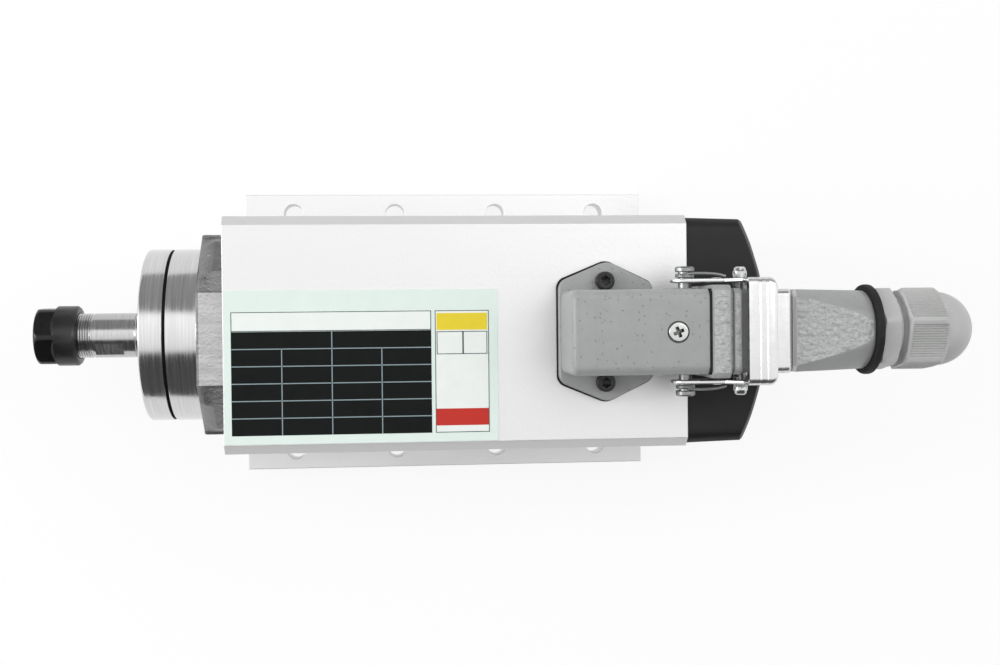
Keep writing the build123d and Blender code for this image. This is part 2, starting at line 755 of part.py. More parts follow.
# Connector base: foot, rectangular tube open to the rear, pivot bosses on its sides
tube_low = connector_axis_z - tube_height / 2
tube_high = connector_axis_z + tube_height / 2
hollow_width = tube_width - 2 * tube_wall
pivot = upright(pivot_station, 0, connector_axis_z)
with BuildPart() as connector_base:
    base_foot(base_floor, base_flange_thickness)
    with BuildSketch(across(tube_front, connector_height)) as tube_section:
        RectangleRounded(tube_width, tube_height, tube_corner)
    extrude(amount=tube_mouth - tube_front)
    with Locations(pivot):
        Cylinder(pivot_boss / 2, tube_width + 2 * pivot_boss_height)
    block(tube_front + tube_wall, tube_mouth, hollow_width, tube_low + tube_wall, tube_high - tube_wall,
          mode=Mode.SUBTRACT)
    with BuildSketch(level(base_floor, base_screw_station)) as lead_way:
        Rectangle(lead_opening, lead_opening)
    extrude(amount=connector_axis_z - base_floor, mode=Mode.SUBTRACT)
    with BuildSketch(pivot) as rivet_holes:
        RegularPolygon(pivot_pin / 2, shank_sides)
    extrude(amount=tube_width, both=True, mode=Mode.SUBTRACT)
    with BuildSketch(level(tube_high, insert_screw_station)) as insert_screw_hole:
        RegularPolygon(small_screw / 2 + fit_gap, shank_sides, major_radius=False)
    extrude(amount=-tube_wall, mode=Mode.SUBTRACT)
    with Locations(level(tube_high, insert_screw_station)):
        Cylinder(insert_screw_recess / 2, insert_screw_recess_depth, align=to_start, mode=Mode.SUBTRACT)
finish(connector_base, "connector_base")


with BuildPart() as base_screws:
    with BuildSketch(level(base_flange_top, base_screw_station)) as base_shanks:
        with GridLocations(1, base_screw_spacing, 1, 2):
            RegularPolygon(small_screw / 2, shank_sides, major_radius=False)
    extrude(amount=-small_screw_length)
    with Locations(level(base_flange_top, base_screw_station)):
        with GridLocations(1, base_screw_spacing, 1, 2):
            Cylinder(small_screw_head / 2, small_screw_head_height, align=from_start)
finish(base_screws, "base_screws")

with BuildPart() as insert_screw:
    with BuildSketch(level(tube_high, insert_screw_station)) as insert_shank:
        RegularPolygon(small_screw / 2, shank_sides, major_radius=False)
    extrude(amount=-insert_screw_length)
    with Locations(level(tube_high, insert_screw_station)):
        Cylinder(insert_screw_head / 2, insert_screw_recess_depth, align=to_start)
finish(insert_screw, "insert_screw")


def contact_grid(start, end, size, mode=Mode.ADD):
    """Four square bars along the connector at the contact places."""
    with BuildSketch(across(start, connector_height)) as grid:
        with GridLocations(contact_spacing, contact_spacing, 2, 2):
            Rectangle(size, size)
    extrude(grid.sketch, amount=end - start, mode=mode)


insert_width = hollow_width - 2 * insert_gap
with BuildPart() as socket_insert:
    block(insert_front, insert_back, insert_width, tube_low + tube_wall + insert_gap,
          tube_high - tube_wall - insert_gap)
    contact_grid(insert_front, insert_back, socket_contact + 2 * fit_gap, Mode.SUBTRACT)
    with BuildSketch(level(tube_high, insert_screw_station)) as insert_thread:
        RegularPolygon(small_screw / 2 + fit_gap, shank_sides, major_radius=False)
    extrude(amount=-insert_screw_length - tapped_tip, mode=Mode.SUBTRACT)
finish(socket_insert, "socket_insert")

socket_contact_front = insert_front - contact_overhang
with BuildPart() as socket_contacts:
    contact_grid(socket_contact_front, insert_back - contact_overhang, socket_contact)
    contact_grid(pin_contact_front - contact_overhang, insert_back, pin_contact + 2 * fit_gap, Mode.SUBTRACT)
finish(socket_contacts, "socket_contacts")

# Motor leads: from the windings up through the foot and back to the socket contacts
with BuildPart() as motor_leads:
    for row in (-1, 1):
        bend = lead_station - row * lead_offset
        lead_height = connector_height + row * contact_spacing / 2
        with BuildSketch(level(axis_height + lead_start_height, bend)) as risers:
            with GridLocations(1, contact_spacing, 1, 2):
                Rectangle(lead_thickness, lead_thickness)
        extrude(amount=lead_height - lead_start_height + lead_thickness / 2)
        with BuildSketch(across(bend, lead_height)) as runs:
            with GridLocations(contact_spacing, 1, 2, 1):
                Rectangle(lead_thickness, lead_thickness)
        extrude(amount=socket_contact_front - bend)
finish(motor_leads, "motor_leads")

# Pivot pins of the latch, with flat heads and hidden rivet ends
lever_outer = lever_inner_width / 2 + lever_thickness
pin_head_start = lever_outer + pivot_neck
boss_face = tube_width / 2 + pivot_boss_height
with BuildPart() as pivot_pins:
    for side in (-1, 1):
        with BuildSketch(pivot.offset(-side * hollow_width / 2)) as rivet:
            RegularPolygon(pivot_pin / 2 - fit_gap, shank_sides)
        extrude(amount=-side * (boss_face - hollow_width / 2))
        with BuildSketch(pivot.offset(-side * boss_face)) as neck:
            RegularPolygon(pivot_pin / 2, 2 * shank_sides)
        extrude(amount=-side * (pin_head_start - boss_face))
        with Locations(pivot.offset(-side * (pin_head_start + pivot_head_thickness / 2))):
            Cylinder(pivot_head / 2, pivot_head_thickness)
finish(pivot_pins, "pivot_pins")

# Latch lever: bent sheet with two arms, a notch in each for the hood's peg, a stepped bridge and a tab
peg_x = hood_peg_station - pivot_station
bridge_x = lever_bridge_reach
bridge_end_x = bridge_x + lever_bridge_length
step_one = bridge_x + lever_step_one
step_two = bridge_x + lever_step_two
half_step = lever_step_height / 2
under = [
    (bridge_x, lever_bridge_under),
    (step_one, lever_bridge_under),
    (step_one, lever_bridge_under + half_step),
    (step_two, lever_bridge_under + half_step),
    (step_two, lever_bridge_under + lever_step_height),
    (bridge_end_x, lever_bridge_under + lever_step_height),
]
over = [(x, z + lever_thickness) for x, z in under]
tab_x = bridge_end_x + tab_length
tab_z = lever_bridge_under + lever_step_height - tab_drop
with BuildPart() as latch_lever:
    with BuildSketch(upright(pivot_station, -lever_inner_width / 2, connector_axis_z)) as arm:
        with BuildLine():
            Polyline(
                (0, lever_arm_low),
                (bridge_end_x, lever_arm_low),
                *reversed(over),
                (bridge_x, lever_arm_high + lever_eye_radius),
                (bridge_x - lever_eye_radius, lever_arm_high),
                (0, lever_eye_radius),
                close=True,
            )
        make_face()
        Circle(lever_eye_radius)
        Circle(pivot_pin / 2 + running_gap, mode=Mode.SUBTRACT)
        with Locations((peg_x + hood_peg / 2 + notch_gap, hood_peg_height + hood_peg / 2 + notch_gap)):
            Rectangle(hood_peg + notch_gap + notch_front_gap, 4 * lever_eye_radius,
                      align=(Align.MAX, Align.MAX), mode=Mode.SUBTRACT)
    extrude(amount=lever_thickness)
    mirror(about=Plane.XZ)
    with BuildSketch(upright(pivot_station, 0, connector_axis_z)) as bridge:
        with BuildLine():
            Polyline(*under, *reversed(over), close=True)
        make_face()
    extrude(amount=lever_outer, both=True)
    with BuildSketch(upright(pivot_station, 0, connector_axis_z)) as tab:
        with BuildLine():
            Polyline(
                under[-1],
                (tab_x, tab_z),
                (tab_x, tab_z + lever_thickness),
                over[-1],
                close=True,
            )
        make_face()
    extrude(amount=tab_width / 2, both=True)
finish(latch_lever, "latch_lever")

# Latch springs: a close coil round each pivot pin and a leg that bears on the lever's arm
coil_start = lever_outer + fit_gap
coil_length = pivot_neck - 2 * fit_gap
leg_middle = lever_outer + pivot_neck / 2
with BuildPart() as latch_springs:
    for side in (-1, 1):
        with BuildSketch(pivot.offset(side * coil_start)) as coil:
            RegularPolygon(spring_coil_radius, 2 * shank_sides)
            RegularPolygon(pivot_pin / 2 + running_gap, 2 * shank_sides, major_radius=False, mode=Mode.SUBTRACT)
        extrude(amount=side * coil_length)
        leg_z = connector_axis_z + spring_coil_radius - spring_wire
        points = [
            (pivot.origin.X, -side * leg_middle, leg_z),
            (pivot.origin.X + spring_bend_reach, -side * leg_middle, leg_z + spring_rise),
            (pivot.origin.X + spring_leg_reach, -side * (coil_start + spring_wire / 2), leg_z + spring_rise),
        ]
        with BuildLine() as wire:
            Polyline(*points)
        with BuildSketch(Plane(origin=wire.line @ 0, z_dir=wire.line % 0)) as wire_section:
            RegularPolygon(spring_wire / 2, 6)
        sweep(wire_section.sketch, path=wire.line, transition=Transition.RIGHT)
finish(latch_springs, "latch_springs")

# Plug hood: collar, band and waist, then a body that goes from square to round with a flat on each side
hood_low = connector_axis_z - hood_waist_width / 2
hood_high = connector_axis_z + hood_waist_width / 2 - hood_recess
hood_hollow_width = hood_waist_width - 2 * hood_wall
collar_end_station = hood_front + hood_collar_length
peg_axis = upright(hood_peg_station, 0, connector_axis_z + hood_peg_height)


def hood_block(start, end, width):
    block(start, end, width, connector_axis_z - width / 2, connector_axis_z + width / 2, hood_corner)


cone_start = sqrt(hood_body_width ** 2 + hood_flat_width ** 2) / 2
cone_end = sqrt(hood_body_end_width ** 2 + hood_flat_end_width ** 2) / 2
with BuildPart() as hood_body:
    add(skinned(square_ring(hood_face_start, hood_body_width / 2, hood_corner, connector_height),
                square_ring(hood_end, hood_body_end_width / 2, hood_corner, connector_height)))
    add(tapered((hood_face_start, cone_start), (hood_end, cone_end), sides=outer_sides, height=connector_height),
        mode=Mode.INTERSECT)

with BuildPart() as plug_hood:
    hood_block(hood_front, collar_end_station, hood_collar_width)
    hood_block(hood_band_start, hood_band_start + hood_band_length, hood_band_width)
    block(collar_end_station, hood_face_start, hood_waist_width, hood_low, hood_high, hood_corner)
    add(hood_body.part)
    block(hood_front, hood_cavity_end, hood_hollow_width, hood_low + hood_wall, hood_high - hood_wall,
          mode=Mode.SUBTRACT)
    flat_sided(hood_cavity_end, hood_end, gland_thread / 2, height=connector_height, mode=Mode.SUBTRACT)
    with BuildSketch(peg_axis) as peg_holes:
        RegularPolygon(hood_peg / 2, shank_sides)
    extrude(amount=hood_collar_width, both=True, mode=Mode.SUBTRACT)
finish(plug_hood, "plug_hood")

with BuildPart() as hood_seal:
    with BuildSketch(across(tube_mouth, connector_height)) as seal_section:
        Rectangle(tube_width, tube_height)
        chamfer(seal_section.vertices(), tube_corner / 2)
        Rectangle(hollow_width, tube_height - 2 * tube_wall, mode=Mode.SUBTRACT)
    extrude(amount=hood_front - tube_mouth)
finish(hood_seal, "hood_seal")

with BuildPart() as hood_pegs:
    hood_side = hood_waist_width / 2
    for side in (-1, 1):
        with BuildSketch(peg_axis.offset(side * hood_hollow_width / 2)) as peg_root:
            RegularPolygon(hood_peg / 2 - fit_gap, shank_sides)
        extrude(amount=side * (hood_side - hood_hollow_width / 2))
        with Locations(peg_axis.offset(side * (hood_side + hood_peg_reach) / 2)):
            Cylinder(hood_peg / 2, hood_peg_reach - hood_side)
finish(hood_pegs, "hood_pegs")

pin_insert_front = hood_front + insert_gap
with BuildPart() as pin_insert:
    block(pin_insert_front, pin_insert_front + pin_insert_length, hood_hollow_width - 2 * insert_gap,
          hood_low + hood_wall + insert_gap, hood_high - hood_wall - insert_gap)
    contact_grid(pin_insert_front, pin_insert_front + pin_insert_length, pin_contact + 2 * fit_gap, Mode.SUBTRACT)
finish(pin_insert, "pin_insert")

with BuildPart() as pin_contacts:
    contact_grid(pin_contact_front, pin_contact_front + pin_contact_length, pin_contact)
finish(pin_contacts, "pin_contacts")

# Cable gland: washer, hexagon body, rubber seal and domed nut
gland_body_start = hood_end + gland_washer_thickness
gland_hex_end = gland_body_start + gland_hex_length
neck_end = gland_hex_end + gland_neck_length
gland_nut_start = gland_hex_end + gland_nut_gap
dome_start = gland_nut_start + gland_nut_hex_length
with BuildPart() as gland_washer:
    flat_sided(hood_end, gland_body_start, gland_washer_diameter / 2, outer_sides, connector_height)
    flat_sided(hood_end, gland_body_start, gland_thread / 2, height=connector_height, mode=Mode.SUBTRACT)
finish(gland_washer, "gland_washer")

with BuildPart() as gland_body:
    flat_sided(hood_end - gland_thread_length, gland_body_start, gland_thread / 2 - fit_gap,
               height=connector_height)
    flat_sided(gland_body_start, gland_hex_end, gland_across_flats / 2, 6, connector_height, turn=gland_turn)
    flat_sided(gland_hex_end, neck_end, gland_neck_diameter / 2 * hidden_reach, height=connector_height)
    flat_sided(hood_end - gland_thread_length, neck_end, gland_bore / 2, height=connector_height,
               mode=Mode.SUBTRACT)
finish(gland_body, "gland_body")

seal_start = neck_end + gland_seal_overhang - gland_seal_length
with BuildPart() as gland_seal:
    flat_sided(seal_start, seal_start + gland_seal_length, gland_bore / 2 - running_gap,
               height=connector_height)
    bar(seal_start, seal_start + gland_seal_length, gland_seal_bore / 2, connector_height, mode=Mode.SUBTRACT)
finish(gland_seal, "gland_seal")


nut_bore = gland_neck_diameter / 2 + running_gap
shoulder_angle = radians(gland_dome_step)
crown_angle = radians(2 * gland_dome_step)
nut_shoulder = dome_start + gland_dome_radius * sin(shoulder_angle)
shoulder_radius = gland_dome_radius * cos(shoulder_angle)
nut_crown = dome_start + gland_dome_radius * sin(crown_angle)
crown_radius = gland_dome_radius * cos(crown_angle)
exit_station = dome_start + sqrt(gland_dome_radius ** 2 - (gland_exit / 2) ** 2)
with BuildPart() as gland_nut:
    flat_sided(gland_nut_start, dome_start, gland_across_flats / 2, 6, connector_height, turn=gland_turn)
    add(tapered((dome_start, gland_dome_radius), (nut_shoulder, shoulder_radius), (nut_crown, crown_radius),
                (exit_station, gland_exit / 2), sides=gland_dome_sides, height=connector_height))
    flat_sided(gland_nut_start, neck_end + gland_seal_overhang + free_gap, nut_bore, height=connector_height,
               mode=Mode.SUBTRACT)
    bar(gland_nut_start, exit_station, gland_exit / 2, connector_height, mode=Mode.SUBTRACT)
finish(gland_nut, "gland_nut")
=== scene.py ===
"""Dresses the motor spindle: its visible pieces, their finishes, the studio and the camera."""
import json
import math

import bmesh
import bpy
from mathutils import Euler, Matrix, Vector

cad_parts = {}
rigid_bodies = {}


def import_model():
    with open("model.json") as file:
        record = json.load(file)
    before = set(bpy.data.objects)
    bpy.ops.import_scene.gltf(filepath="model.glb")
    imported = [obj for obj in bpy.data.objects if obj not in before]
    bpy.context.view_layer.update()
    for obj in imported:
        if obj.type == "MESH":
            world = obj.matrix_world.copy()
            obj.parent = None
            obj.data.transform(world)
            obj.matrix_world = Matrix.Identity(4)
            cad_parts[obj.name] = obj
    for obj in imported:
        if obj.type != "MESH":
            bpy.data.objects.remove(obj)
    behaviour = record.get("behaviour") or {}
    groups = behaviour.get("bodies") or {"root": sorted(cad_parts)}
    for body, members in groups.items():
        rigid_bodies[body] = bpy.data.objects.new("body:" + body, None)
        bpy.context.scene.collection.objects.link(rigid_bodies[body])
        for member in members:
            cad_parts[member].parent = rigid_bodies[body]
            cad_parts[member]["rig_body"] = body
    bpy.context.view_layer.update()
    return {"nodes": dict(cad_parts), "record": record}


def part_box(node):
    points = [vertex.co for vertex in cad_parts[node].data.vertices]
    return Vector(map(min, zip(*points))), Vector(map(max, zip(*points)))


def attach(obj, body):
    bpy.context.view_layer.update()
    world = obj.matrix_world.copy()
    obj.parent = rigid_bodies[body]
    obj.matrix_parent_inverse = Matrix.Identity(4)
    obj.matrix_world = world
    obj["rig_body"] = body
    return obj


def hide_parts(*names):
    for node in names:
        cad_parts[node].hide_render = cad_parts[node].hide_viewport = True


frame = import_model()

bl_info = {
    "name": "Motor Spindle",
    "version": (1, 0, 0),
    "blender": (4, 5, 0),
    "location": "3D View > Sidebar > Spindle",
    "description": "Builds the visible pieces and finishes of a square motor spindle",
    "category": "Object",
}

mm = 0.001
box = {name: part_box(name) for name in frame["nodes"]}
tau = 2 * math.pi

# Places taken from the frame
front_face = box["body_extrusion"][0].x
shaft_height = (box["shaft"][0].z + box["shaft"][1].z) / 2
plug_height = (box["gland_washer"][0].z + box["gland_washer"][1].z) / 2


def station(distance):
    """Place along X of a distance in mm behind the body's front face."""
    return front_face + distance * mm


def at(distance, across, up, axis):
    """A point by its distance along, and by mm across and over an axis at a height in metres."""
    return station(distance), across * mm, axis + up * mm


def linear(code):
    """Linear red, green, blue and alpha of an sRGB hex colour."""
    parts = [int(code[i:i + 2], 16) / 255 for i in (1, 3, 5)]
    return (*(c / 12.92 if c <= 0.04045 else ((c + 0.055) / 1.055) ** 2.4 for c in parts), 1.0)


def colour_setting(label, code, note):
    return bpy.props.FloatVectorProperty(name=label, description=note, subtype="COLOR", size=4,
                                         min=0.0, max=1.0, default=linear(code))


def length_setting(label, size, note):
    return bpy.props.FloatProperty(name=label, description=note, unit="LENGTH", min=0.0, default=size * mm)


class SpindleSizes(bpy.types.PropertyGroup):
    """Sizes of the small forms that the finish adds."""
    edge_break: length_setting("Edge break", 0.35, "Rounding of machined edges")
    nut_pitch: length_setting("Nut thread", 0.75, "Pitch of the collet nut's thread")
    gland_pitch: length_setting("Gland thread", 1.5, "Pitch of the cable gland's thread")
    rib_pitch: length_setting("Rib spacing", 0.76, "Distance between the gland nut's grip ribs")
    rib_depth: length_setting("Rib depth", 0.4, "Depth of the gland nut's grip ribs")
    wire: length_setting("Spring wire", 0.8, "Thickness of the latch springs' wire")
    rule: length_setting("Plate rule", 0.28, "Width of the printed rules on the data plate")


class SpindleColours(bpy.types.PropertyGroup):
    """Colours of the finishes."""
    body: colour_setting("Body", "#E4E4E4", "Blasted and anodised aluminium")
    casting: colour_setting("Casting", "#B8B8B8", "Bare die-cast aluminium")
    steel: colour_setting("Steel", "#D0D0D0", "Turned and ground steel")
    cover: colour_setting("Cover", "#161617", "Moulded plastic of the fan cover")
    enamel: colour_setting("Enamel", "#9D9E9E", "Textured enamel of the connector")
    gland: colour_setting("Gland", "#B8B9B8", "Moulded polyamide of the gland")
    plate: colour_setting("Plate", "#E3F0EA", "Printed foil of the data plate")


def sizes():
    return bpy.context.scene.spindle_sizes


def colours():
    return bpy.context.scene.spindle_colours


def per_metre(millimetres):
    """Scale of a pattern whose features are that far apart."""
    return 1000.0 / millimetres


def add(tree, kind, inputs=None, stops=None, **settings):
    """Adds a node with its settings; an input given another node's socket is linked to it."""
    node = tree.nodes.new(kind)
    for name, value in settings.items():
        setattr(node, name, value)
    for name, value in (inputs or {}).items():
        if isinstance(value, bpy.types.NodeSocket):
            tree.links.new(value, node.inputs[name])
        else:
            node.inputs[name].default_value = value
    if stops:
        ramp = node.color_ramp.elements
        while len(ramp) < len(stops):
            ramp.new(1.0)
        for element, (place, value) in zip(ramp, stops):
            element.position = place
            element.color = (value, value, value, 1.0) if isinstance(value, float) else value
    return node


def shade(colour, factor):
    """A colour made darker or lighter."""
    return (*(min(1.0, c * factor) for c in colour[:3]), 1.0)


def surface(name, metallic, roughness, **constants):
    """A new material: its node tree, its shader and the object's own coordinates."""
    made = bpy.data.materials.new(name)
    made.use_nodes = True
    tree = made.node_tree
    shader = tree.nodes["Principled BSDF"]
    for socket, value in {"Metallic": metallic, "Roughness": roughness, **constants}.items():
        shader.inputs[socket.replace("_", " ")].default_value = value
    place = add(tree, "ShaderNodeTexCoord").outputs["Object"]
    return made, tree, shader, place


def speckle(tree, place, size, stretch=(1, 1, 1), detail=2.0, roughness=0.5):
    """Random height over features of a size in mm."""
    stretched = add(tree, "ShaderNodeMapping", {"Vector": place, "Scale": stretch})
    return add(tree, "ShaderNodeTexNoise", {"Vector": stretched.outputs["Vector"], "Scale": per_metre(size),
                                            "Detail": detail, "Roughness": roughness}).outputs["Fac"]


def mottle(tree, shader, place, colour, spread, size, stretch=(1, 1, 1), rough=None):
    """Colour that wanders about its mean over patches of a size in mm, and the roughness with it."""
    low, high = 0.3, 0.7
    patches = speckle(tree, place, size, stretch, detail=4.0, roughness=0.6)
    tint = add(tree, "ShaderNodeValToRGB", {"Fac": patches},
               stops=[(low, shade(colour, 1 - spread)), (high, shade(colour, 1 + spread))])
    tree.links.new(tint.outputs["Color"], shader.inputs["Base Color"])
    if rough:
        level = add(tree, "ShaderNodeMapRange", {"Value": patches, "From Min": low, "From Max": high,
                                                 "To Min": rough[0], "To Max": rough[1]})
        tree.links.new(level.outputs["Result"], shader.inputs["Roughness"])
    return tint.outputs["Color"]


def relief(tree, shader, height, depth, strength=1.0):
    """Raises the surface by a height between 0 and 1 times a depth in mm, on top of what is there."""
    bump = add(tree, "ShaderNodeBump", {"Height": height, "Distance": depth * mm, "Strength": strength})
    before = shader.inputs["Normal"].links
    if before:
        tree.links.new(before[0].from_socket, bump.inputs["Normal"])
    tree.links.new(bump.outputs["Normal"], shader.inputs["Normal"])


def bands(tree, shader, place, spacing, direction, dark, light, distortion):
    """Bands of two colours at a spacing in mm; returns their height."""
    inputs = {"Vector": place, "Scale": per_metre(spacing) / tau, "Distortion": distortion}
    wave = add(tree, "ShaderNodeTexWave", inputs, wave_type="BANDS", bands_direction=direction)
    tint = add(tree, "ShaderNodeValToRGB", {"Fac": wave.outputs["Fac"]},
               stops=[(0.2, linear(dark)), (0.8, linear(light))])
    tree.links.new(tint.outputs["Color"], shader.inputs["Base Color"])
    return wave.outputs["Fac"]


def anodised_aluminium():
    """Glass-blasted and clear anodised: near white, matt and even, with faint lines along the extrusion.
    Its blasted dimples and die lines are a tenth of a millimetre wide, drawn coarser so that they show."""
    made, tree, shader, place = surface("anodised_aluminium", metallic=0.75, roughness=0.42)
    mottle(tree, shader, place, colours().body, spread=0.025, size=14, stretch=(0.25, 1, 1),
           rough=(0.36, 0.48))
    edges = add(tree, "ShaderNodeBevel", {"Radius": sizes().edge_break}, samples=6)
    tree.links.new(edges.outputs["Normal"], shader.inputs["Normal"])
    relief(tree, shader, speckle(tree, place, 0.9, detail=4.0), depth=0.08, strength=0.5)
    relief(tree, shader, speckle(tree, place, 1.4, stretch=(0.01, 1, 1)), depth=0.03, strength=0.4)
    return made


def cast_aluminium(name="cast_aluminium", darkening=1.0):
    """Die cast and left bare: grey, with a coarse skin and broken flow lines a few millimetres apart."""
    made, tree, shader, place = surface(name, metallic=0.85, roughness=0.4)
    mottle(tree, shader, place, shade(colours().casting, darkening), spread=0.16, size=2.2,
           stretch=(0.35, 1, 1), rough=(0.32, 0.52))
    relief(tree, shader, speckle(tree, place, 0.9, detail=4.0), depth=0.25, strength=0.8)
    relief(tree, shader, speckle(tree, place, 3.4, stretch=(0.12, 1, 1), detail=5.0), depth=0.4, strength=0.6)
    return made


def turned_steel():
    """Turned between centres: bright, with lines round the axis that spread its reflections.
    The tool leaves them a tenth of a millimetre apart; they are drawn coarser so that they show."""
    made, tree, shader, place = surface("turned_steel", metallic=1.0, roughness=0.16, Anisotropic=0.4)
    mottle(tree, shader, place, colours().steel, spread=0.1, size=0.5, stretch=(1, 0.02, 0.02),
           rough=(0.12, 0.24))
    relief(tree, shader, speckle(tree, place, 0.4, stretch=(1, 0.02, 0.02)), depth=0.008, strength=0.3)
    return made


def ground_steel():
    """Cylindrically ground: closer than turning leaves it, its scratches drawn coarser so that they show."""
    made, tree, shader, place = surface("ground_steel", metallic=1.0, roughness=0.18)
    mottle(tree, shader, place, shade(colours().steel, 0.8), spread=0.1, size=0.6, stretch=(1, 0.1, 0.1),
           rough=(0.14, 0.26))
    relief(tree, shader, speckle(tree, place, 0.25, stretch=(1, 0.05, 0.05)), depth=0.006, strength=0.3)
    return made


def blackened_steel():
    """Black oxide on machined steel: near black, worn to grey metal along its corners."""
    made, tree, shader, place = surface("blackened_steel", metallic=0.3, roughness=0.32)
    base = mottle(tree, shader, place, linear("#101011"), spread=0.25, size=2.5, rough=(0.26, 0.4))
    corners = add(tree, "ShaderNodeNewGeometry").outputs["Pointiness"]
    worn = add(tree, "ShaderNodeValToRGB", {"Fac": corners}, stops=[(0.52, 0.0), (0.6, 1.0)])
    mixed = add(tree, "ShaderNodeMix", {"Factor": worn.outputs["Color"]}, data_type="RGBA")
    oxide, bare = mixed.inputs[6], mixed.inputs[7]
    tree.links.new(base, oxide)
    bare.default_value = linear("#4E4F50")
    tree.links.new(mixed.outputs[2], shader.inputs["Base Color"])
    relief(tree, shader, speckle(tree, place, 0.4), depth=0.01, strength=0.25)
    return made


def bearing_steel():
    """Hardened and polished: mirror-like with a trace of oil in darker patches."""
    made, tree, shader, place = surface("bearing_steel", metallic=1.0, roughness=0.12)
    mottle(tree, shader, place, linear("#C4C6C8"), spread=0.05, size=4, rough=(0.08, 0.18))
    return made


def lamination():
    """Stacked electrical sheet: dark grey edges, half a millimetre thick, that show as fine bands."""
    made, tree, shader, place = surface("lamination", metallic=0.8, roughness=0.5)
    sheets = bands(tree, shader, place, 0.5, "X", "#4A4B4D", "#77787A", distortion=0.2)
    relief(tree, shader, sheets, depth=0.05, strength=0.4)
    return made


def enamelled_copper():
    """Wound copper wire under varnish: warm brown strands side by side."""
    made, tree, shader, place = surface("enamelled_copper", metallic=0.6, roughness=0.35, Coat_Weight=0.4)
    strands = bands(tree, shader, place, 0.7, "Y", "#6E3B1E", "#B86F3C", distortion=1.5)
    relief(tree, shader, strands, depth=0.2, strength=0.5)
    return made


def moulded_plastic(name, colour, grain, depth, roughness):
    """Injection moulded: even colour and its tool's spark-eroded grain, drawn coarser so that it shows."""
    made, tree, shader, place = surface(name, metallic=0.0, roughness=roughness, IOR=1.5,
                                        Specular_IOR_Level=0.35)
    mottle(tree, shader, place, colour, spread=0.05, size=12, rough=(roughness - 0.06, roughness + 0.06))
    relief(tree, shader, speckle(tree, place, grain), depth, strength=0.4)
    return made


def printed_foil(name, colour):
    """Screen printed on foil and laminated: flat colour under a matt film."""
    made, tree, shader, place = surface(name, metallic=0.0, roughness=0.72, Specular_IOR_Level=0.2)
    mottle(tree, shader, place, colour, spread=0.02, size=6, rough=(0.66, 0.78))
    relief(tree, shader, speckle(tree, place, 0.5), depth=0.004, strength=0.2)
    return made


def nitrile_rubber():
    """Moulded black rubber: matt, with a dusty bloom."""
    made, tree, shader, place = surface("nitrile_rubber", metallic=0.0, roughness=0.75)
    mottle(tree, shader, place, linear("#0E0E0E"), spread=0.3, size=3, rough=(0.65, 0.85))
    relief(tree, shader, speckle(tree, place, 0.3), depth=0.02, strength=0.3)
    return made


def grey_enamel():
    """Stoved enamel over a die casting: satin grey, with an orange-peel skin and small pits."""
    made, tree, shader, place = surface("grey_enamel", metallic=0.0, roughness=0.36)
    mottle(tree, shader, place, colours().enamel, spread=0.05, size=5, rough=(0.32, 0.44))
    relief(tree, shader, speckle(tree, place, 0.7), depth=0.05, strength=0.55)
    pits = add(tree, "ShaderNodeTexVoronoi", {"Vector": place, "Scale": per_metre(1.6)})
    hollow = add(tree, "ShaderNodeValToRGB", {"Fac": pits.outputs["Distance"]},
                 stops=[(0.06, 0.0), (0.16, 1.0)])
    relief(tree, shader, hollow.outputs["Color"], depth=0.3, strength=0.8)
    return made


def grained_lit_enamel():
    """Enamel over the hood's rough grip faces: a grain about a millimetre wide that breaks up the light, and
    a colour 1.3 times the grey enamel's that is painted light.
    """
    made, tree, shader, place = surface("grained_lit_enamel", metallic=0.0, roughness=0.34)
    mottle(tree, shader, place, shade(colours().enamel, 1.3), spread=0.22, size=1.0, rough=(0.28, 0.4))
    relief(tree, shader, speckle(tree, place, 1.3, stretch=(0.7, 1, 1), detail=3.0), depth=0.9)
    return made


def plated_steel(name, code, roughness):
    """Plated sheet or screw: bright, a little cloudy, with a faint drawn grain, coarser so that it shows."""
    made, tree, shader, place = surface(name, metallic=1.0, roughness=roughness)
    mottle(tree, shader, place, linear(code), spread=0.05, size=3, rough=(roughness - 0.05, roughness + 0.08))
    relief(tree, shader, speckle(tree, place, 0.4, stretch=(0.2, 1, 1)), depth=0.008, strength=0.25)
    return made


finishes = {}


